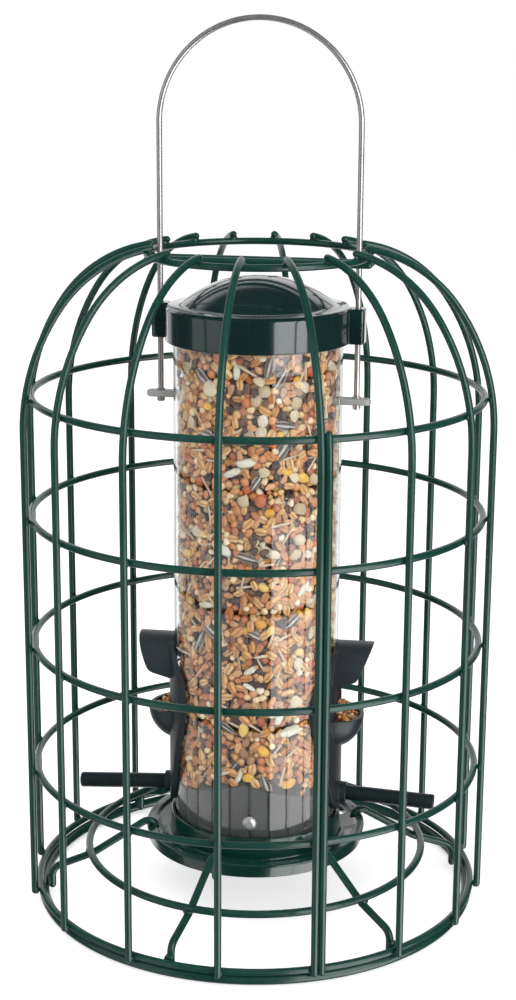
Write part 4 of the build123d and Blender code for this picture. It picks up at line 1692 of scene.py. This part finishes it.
@dataclass
class Studio:
    """Pale floor, a white surround and soft panels of light, in metres."""

    floor_size: float = 30.0
    floor_drop: float = 0.0003
    floor_glow: float = 0.62
    surround: float = 0.5
    backdrop_turn: float = 106.0
    backdrop_edge: Point2 = (0.72, 0.84)
    backdrop_top: Point2 = (0.62, 0.74)
    gloss_floor: float = 0.04
    distance: float = 1.3
    panels: tuple[Panel, ...] = (
        Panel("right_near", (-32.8, -18.0), (-0.04, 1.1), 3.8),
        Panel("right_far", (-60.0, -33.6), (-0.04, 1.1), 3.8),
        Panel("right_near_low", (-34.6, 4.0), (-2.2, -0.18), 3.8),
        Panel("right_far_low", (-61.5, -35.4), (-2.2, -0.18), 3.8),
        Panel("left", (-166.0, -118.0), (-0.04, 1.1), 0.65),
        Panel("left_low", (-166.0, -118.0), (-2.2, -0.18), 0.65),
    )
    top_place: Triple = (-0.25, -0.35, 1.5)
    top_aim: Triple = (0.0, 0.0, 0.15)
    top_size: float = 1.3
    top_watts: float = 11.0

    def build(self) -> None:
        """Builds the floor, the surround and the lamps."""
        bpy.context.scene.view_settings.view_transform = "Standard"
        self._floor()
        self._surround()
        for panel in self.panels:
            self._panel(panel)
        way = Vector(self.top_aim) - Vector(self.top_place)
        top = self._lamp("top_box", self.top_place, way, (self.top_size, self.top_size), self.top_watts)
        top.visible_glossy = False

    @staticmethod
    def _lamp(name: str, place: Sequence[float], way: Vector, size: Point2, watts: float) -> bpy.types.Object:
        """Makes one oblong lamp.

        Args:
            name: Its name.
            place: Its place.
            way: The direction in which it shines.
            size: Its width and height.
            watts: Its power.

        Returns:
            The lamp.
        """
        lamp = bpy.data.lights.new(name, "AREA")
        lamp.shape = "RECTANGLE"
        lamp.size, lamp.size_y = size
        lamp.energy = watts
        made = new_object(name, lamp)
        made.location = place
        made.rotation_euler = way.to_track_quat("-Z", "Y").to_euler()
        return made

    def _panel(self, panel: Panel) -> None:
        """Stands one panel beside the feeder.

        Args:
            panel: The panel.
        """
        low, high = panel.heights
        width = 2 * self.distance * math.tan(math.radians(panel.turns[1] - panel.turns[0]) / 2)
        x, y, z = upright([(self.distance, (low + high) / 2)], sum(panel.turns) / 2)[0]
        watts = math.pi * width * (high - low) * panel.level
        self._lamp(panel.name, (x, y, z), Vector((-x, -y, 0)), (width, high - low), watts)

    def _floor(self) -> None:
        """Lays a wide pale floor that keeps the shadow and isn't seen in gloss."""
        half = self.floor_size / 2
        mesh = bpy.data.meshes.new("floor")
        corners = [(x * half, y * half, -self.floor_drop) for x, y in ((-1, -1), (1, -1), (1, 1), (-1, 1))]
        mesh.from_pydata(corners, [], [(0, 1, 2, 3)])
        floor = new_object("floor", mesh)
        floor.visible_glossy = False
        skin = Skin("pale_floor")
        noise = skin.noise(skin.place("Generated"), 3.0, 4.0)
        seen = self._direct(skin, skin.add("ShaderNodeLightPath"))
        mesh.materials.append(skin.done({
            "Base Color": skin.ramp(noise, [(0.3, (0.78,) * 3), (0.7, (0.8,) * 3)]),
            "Roughness": 0.9,
            "Specular IOR Level": 0.0,
            "Emission Color": (1.0, 1.0, 1.0),
            "Emission Strength": skin.math("MULTIPLY", seen, self.floor_glow),
        }))

    @staticmethod
    def _direct(board: Board, light: Node) -> Socket:
        """1 for rays from the camera, straight or through the tube."""
        return board.math("MAXIMUM", light.outputs["Is Camera Ray"], light.outputs["Is Transmission Ray"])

    def _surround(self) -> None:
        """White where it is seen, white behind and dark before and above in gloss, soft as light."""
        world = bpy.data.worlds.new("surround")
        bpy.context.scene.world = world
        world.use_nodes = True
        world.node_tree.nodes.clear()
        board = Board(world.node_tree)
        light = board.add("ShaderNodeLightPath")
        direct, gloss = self._direct(board, light), light.outputs["Is Glossy Ray"]
        x, y, z = board.split(board.place("Generated"))
        turn = math.radians(self.backdrop_turn)
        across = board.math("MULTIPLY", x, math.cos(turn))
        facing = board.math("MULTIPLY_ADD", y, math.sin(turn), across)
        downward = board.math("MULTIPLY", z, -1.0)
        level = board.math("SQRT", board.math("MULTIPLY_ADD", downward, z, 1.0001))
        behind = board.spread(board.math("DIVIDE", facing, level), *self.backdrop_edge, 0.0, 1.0)
        below_top = board.spread(z, *self.backdrop_top, 1.0, 0.0)
        white = board.math("MULTIPLY", behind, below_top)
        backdrop = board.math("MULTIPLY_ADD", white, 1 - self.gloss_floor, self.gloss_floor)
        seen = board.math("MAXIMUM", direct, board.math("MULTIPLY", gloss, backdrop))
        plain = board.math("SUBTRACT", 1.0, board.math("MAXIMUM", direct, gloss))
        strength = board.math("MULTIPLY_ADD", plain, self.surround, seen)
        back = board.add("ShaderNodeBackground", {0: (1.0, 1.0, 1.0), 1: strength})
        board.add("ShaderNodeOutputWorld", {"Surface": back.outputs[0]})


@dataclass
class PhotoCamera:
    """The camera at the photograph's place, in metres and degrees."""

    place: Triple = (0.1413, -0.7253, 0.3601)
    turn: float = 11.0
    down: float = 14.48
    roll: float = 0.348
    lens: float = 67.1

    def build(self) -> None:
        """Makes the camera and gives it to the scene."""
        data = bpy.data.cameras.new("photo_camera")
        data.sensor_width, data.lens = 36.0, self.lens
        data.clip_start, data.clip_end = 0.01, 100.0
        made = new_object("photo_camera", data)
        turn = about("Z", math.radians(self.turn)) @ about("X", math.radians(90 - self.down))
        made.matrix_world = Matrix.Translation(self.place) @ turn @ about("Z", math.radians(self.roll))
        bpy.context.scene.camera = made


def main() -> None:
    """Builds the studio, the camera and every sub-assembly in order."""
    logging.basicConfig(level=logging.INFO, format="%(message)s")
    Studio().build()
    PhotoCamera().build()
    shop = Workshop()
    for assembly in (WireCage, BaseFrame, DripTray, KeptParts, Handle, Lid, SeedBed):
        LOG.info("building %s", assembly.__name__)
        assembly(shop).build()


if __name__ == "__main__":
    main()
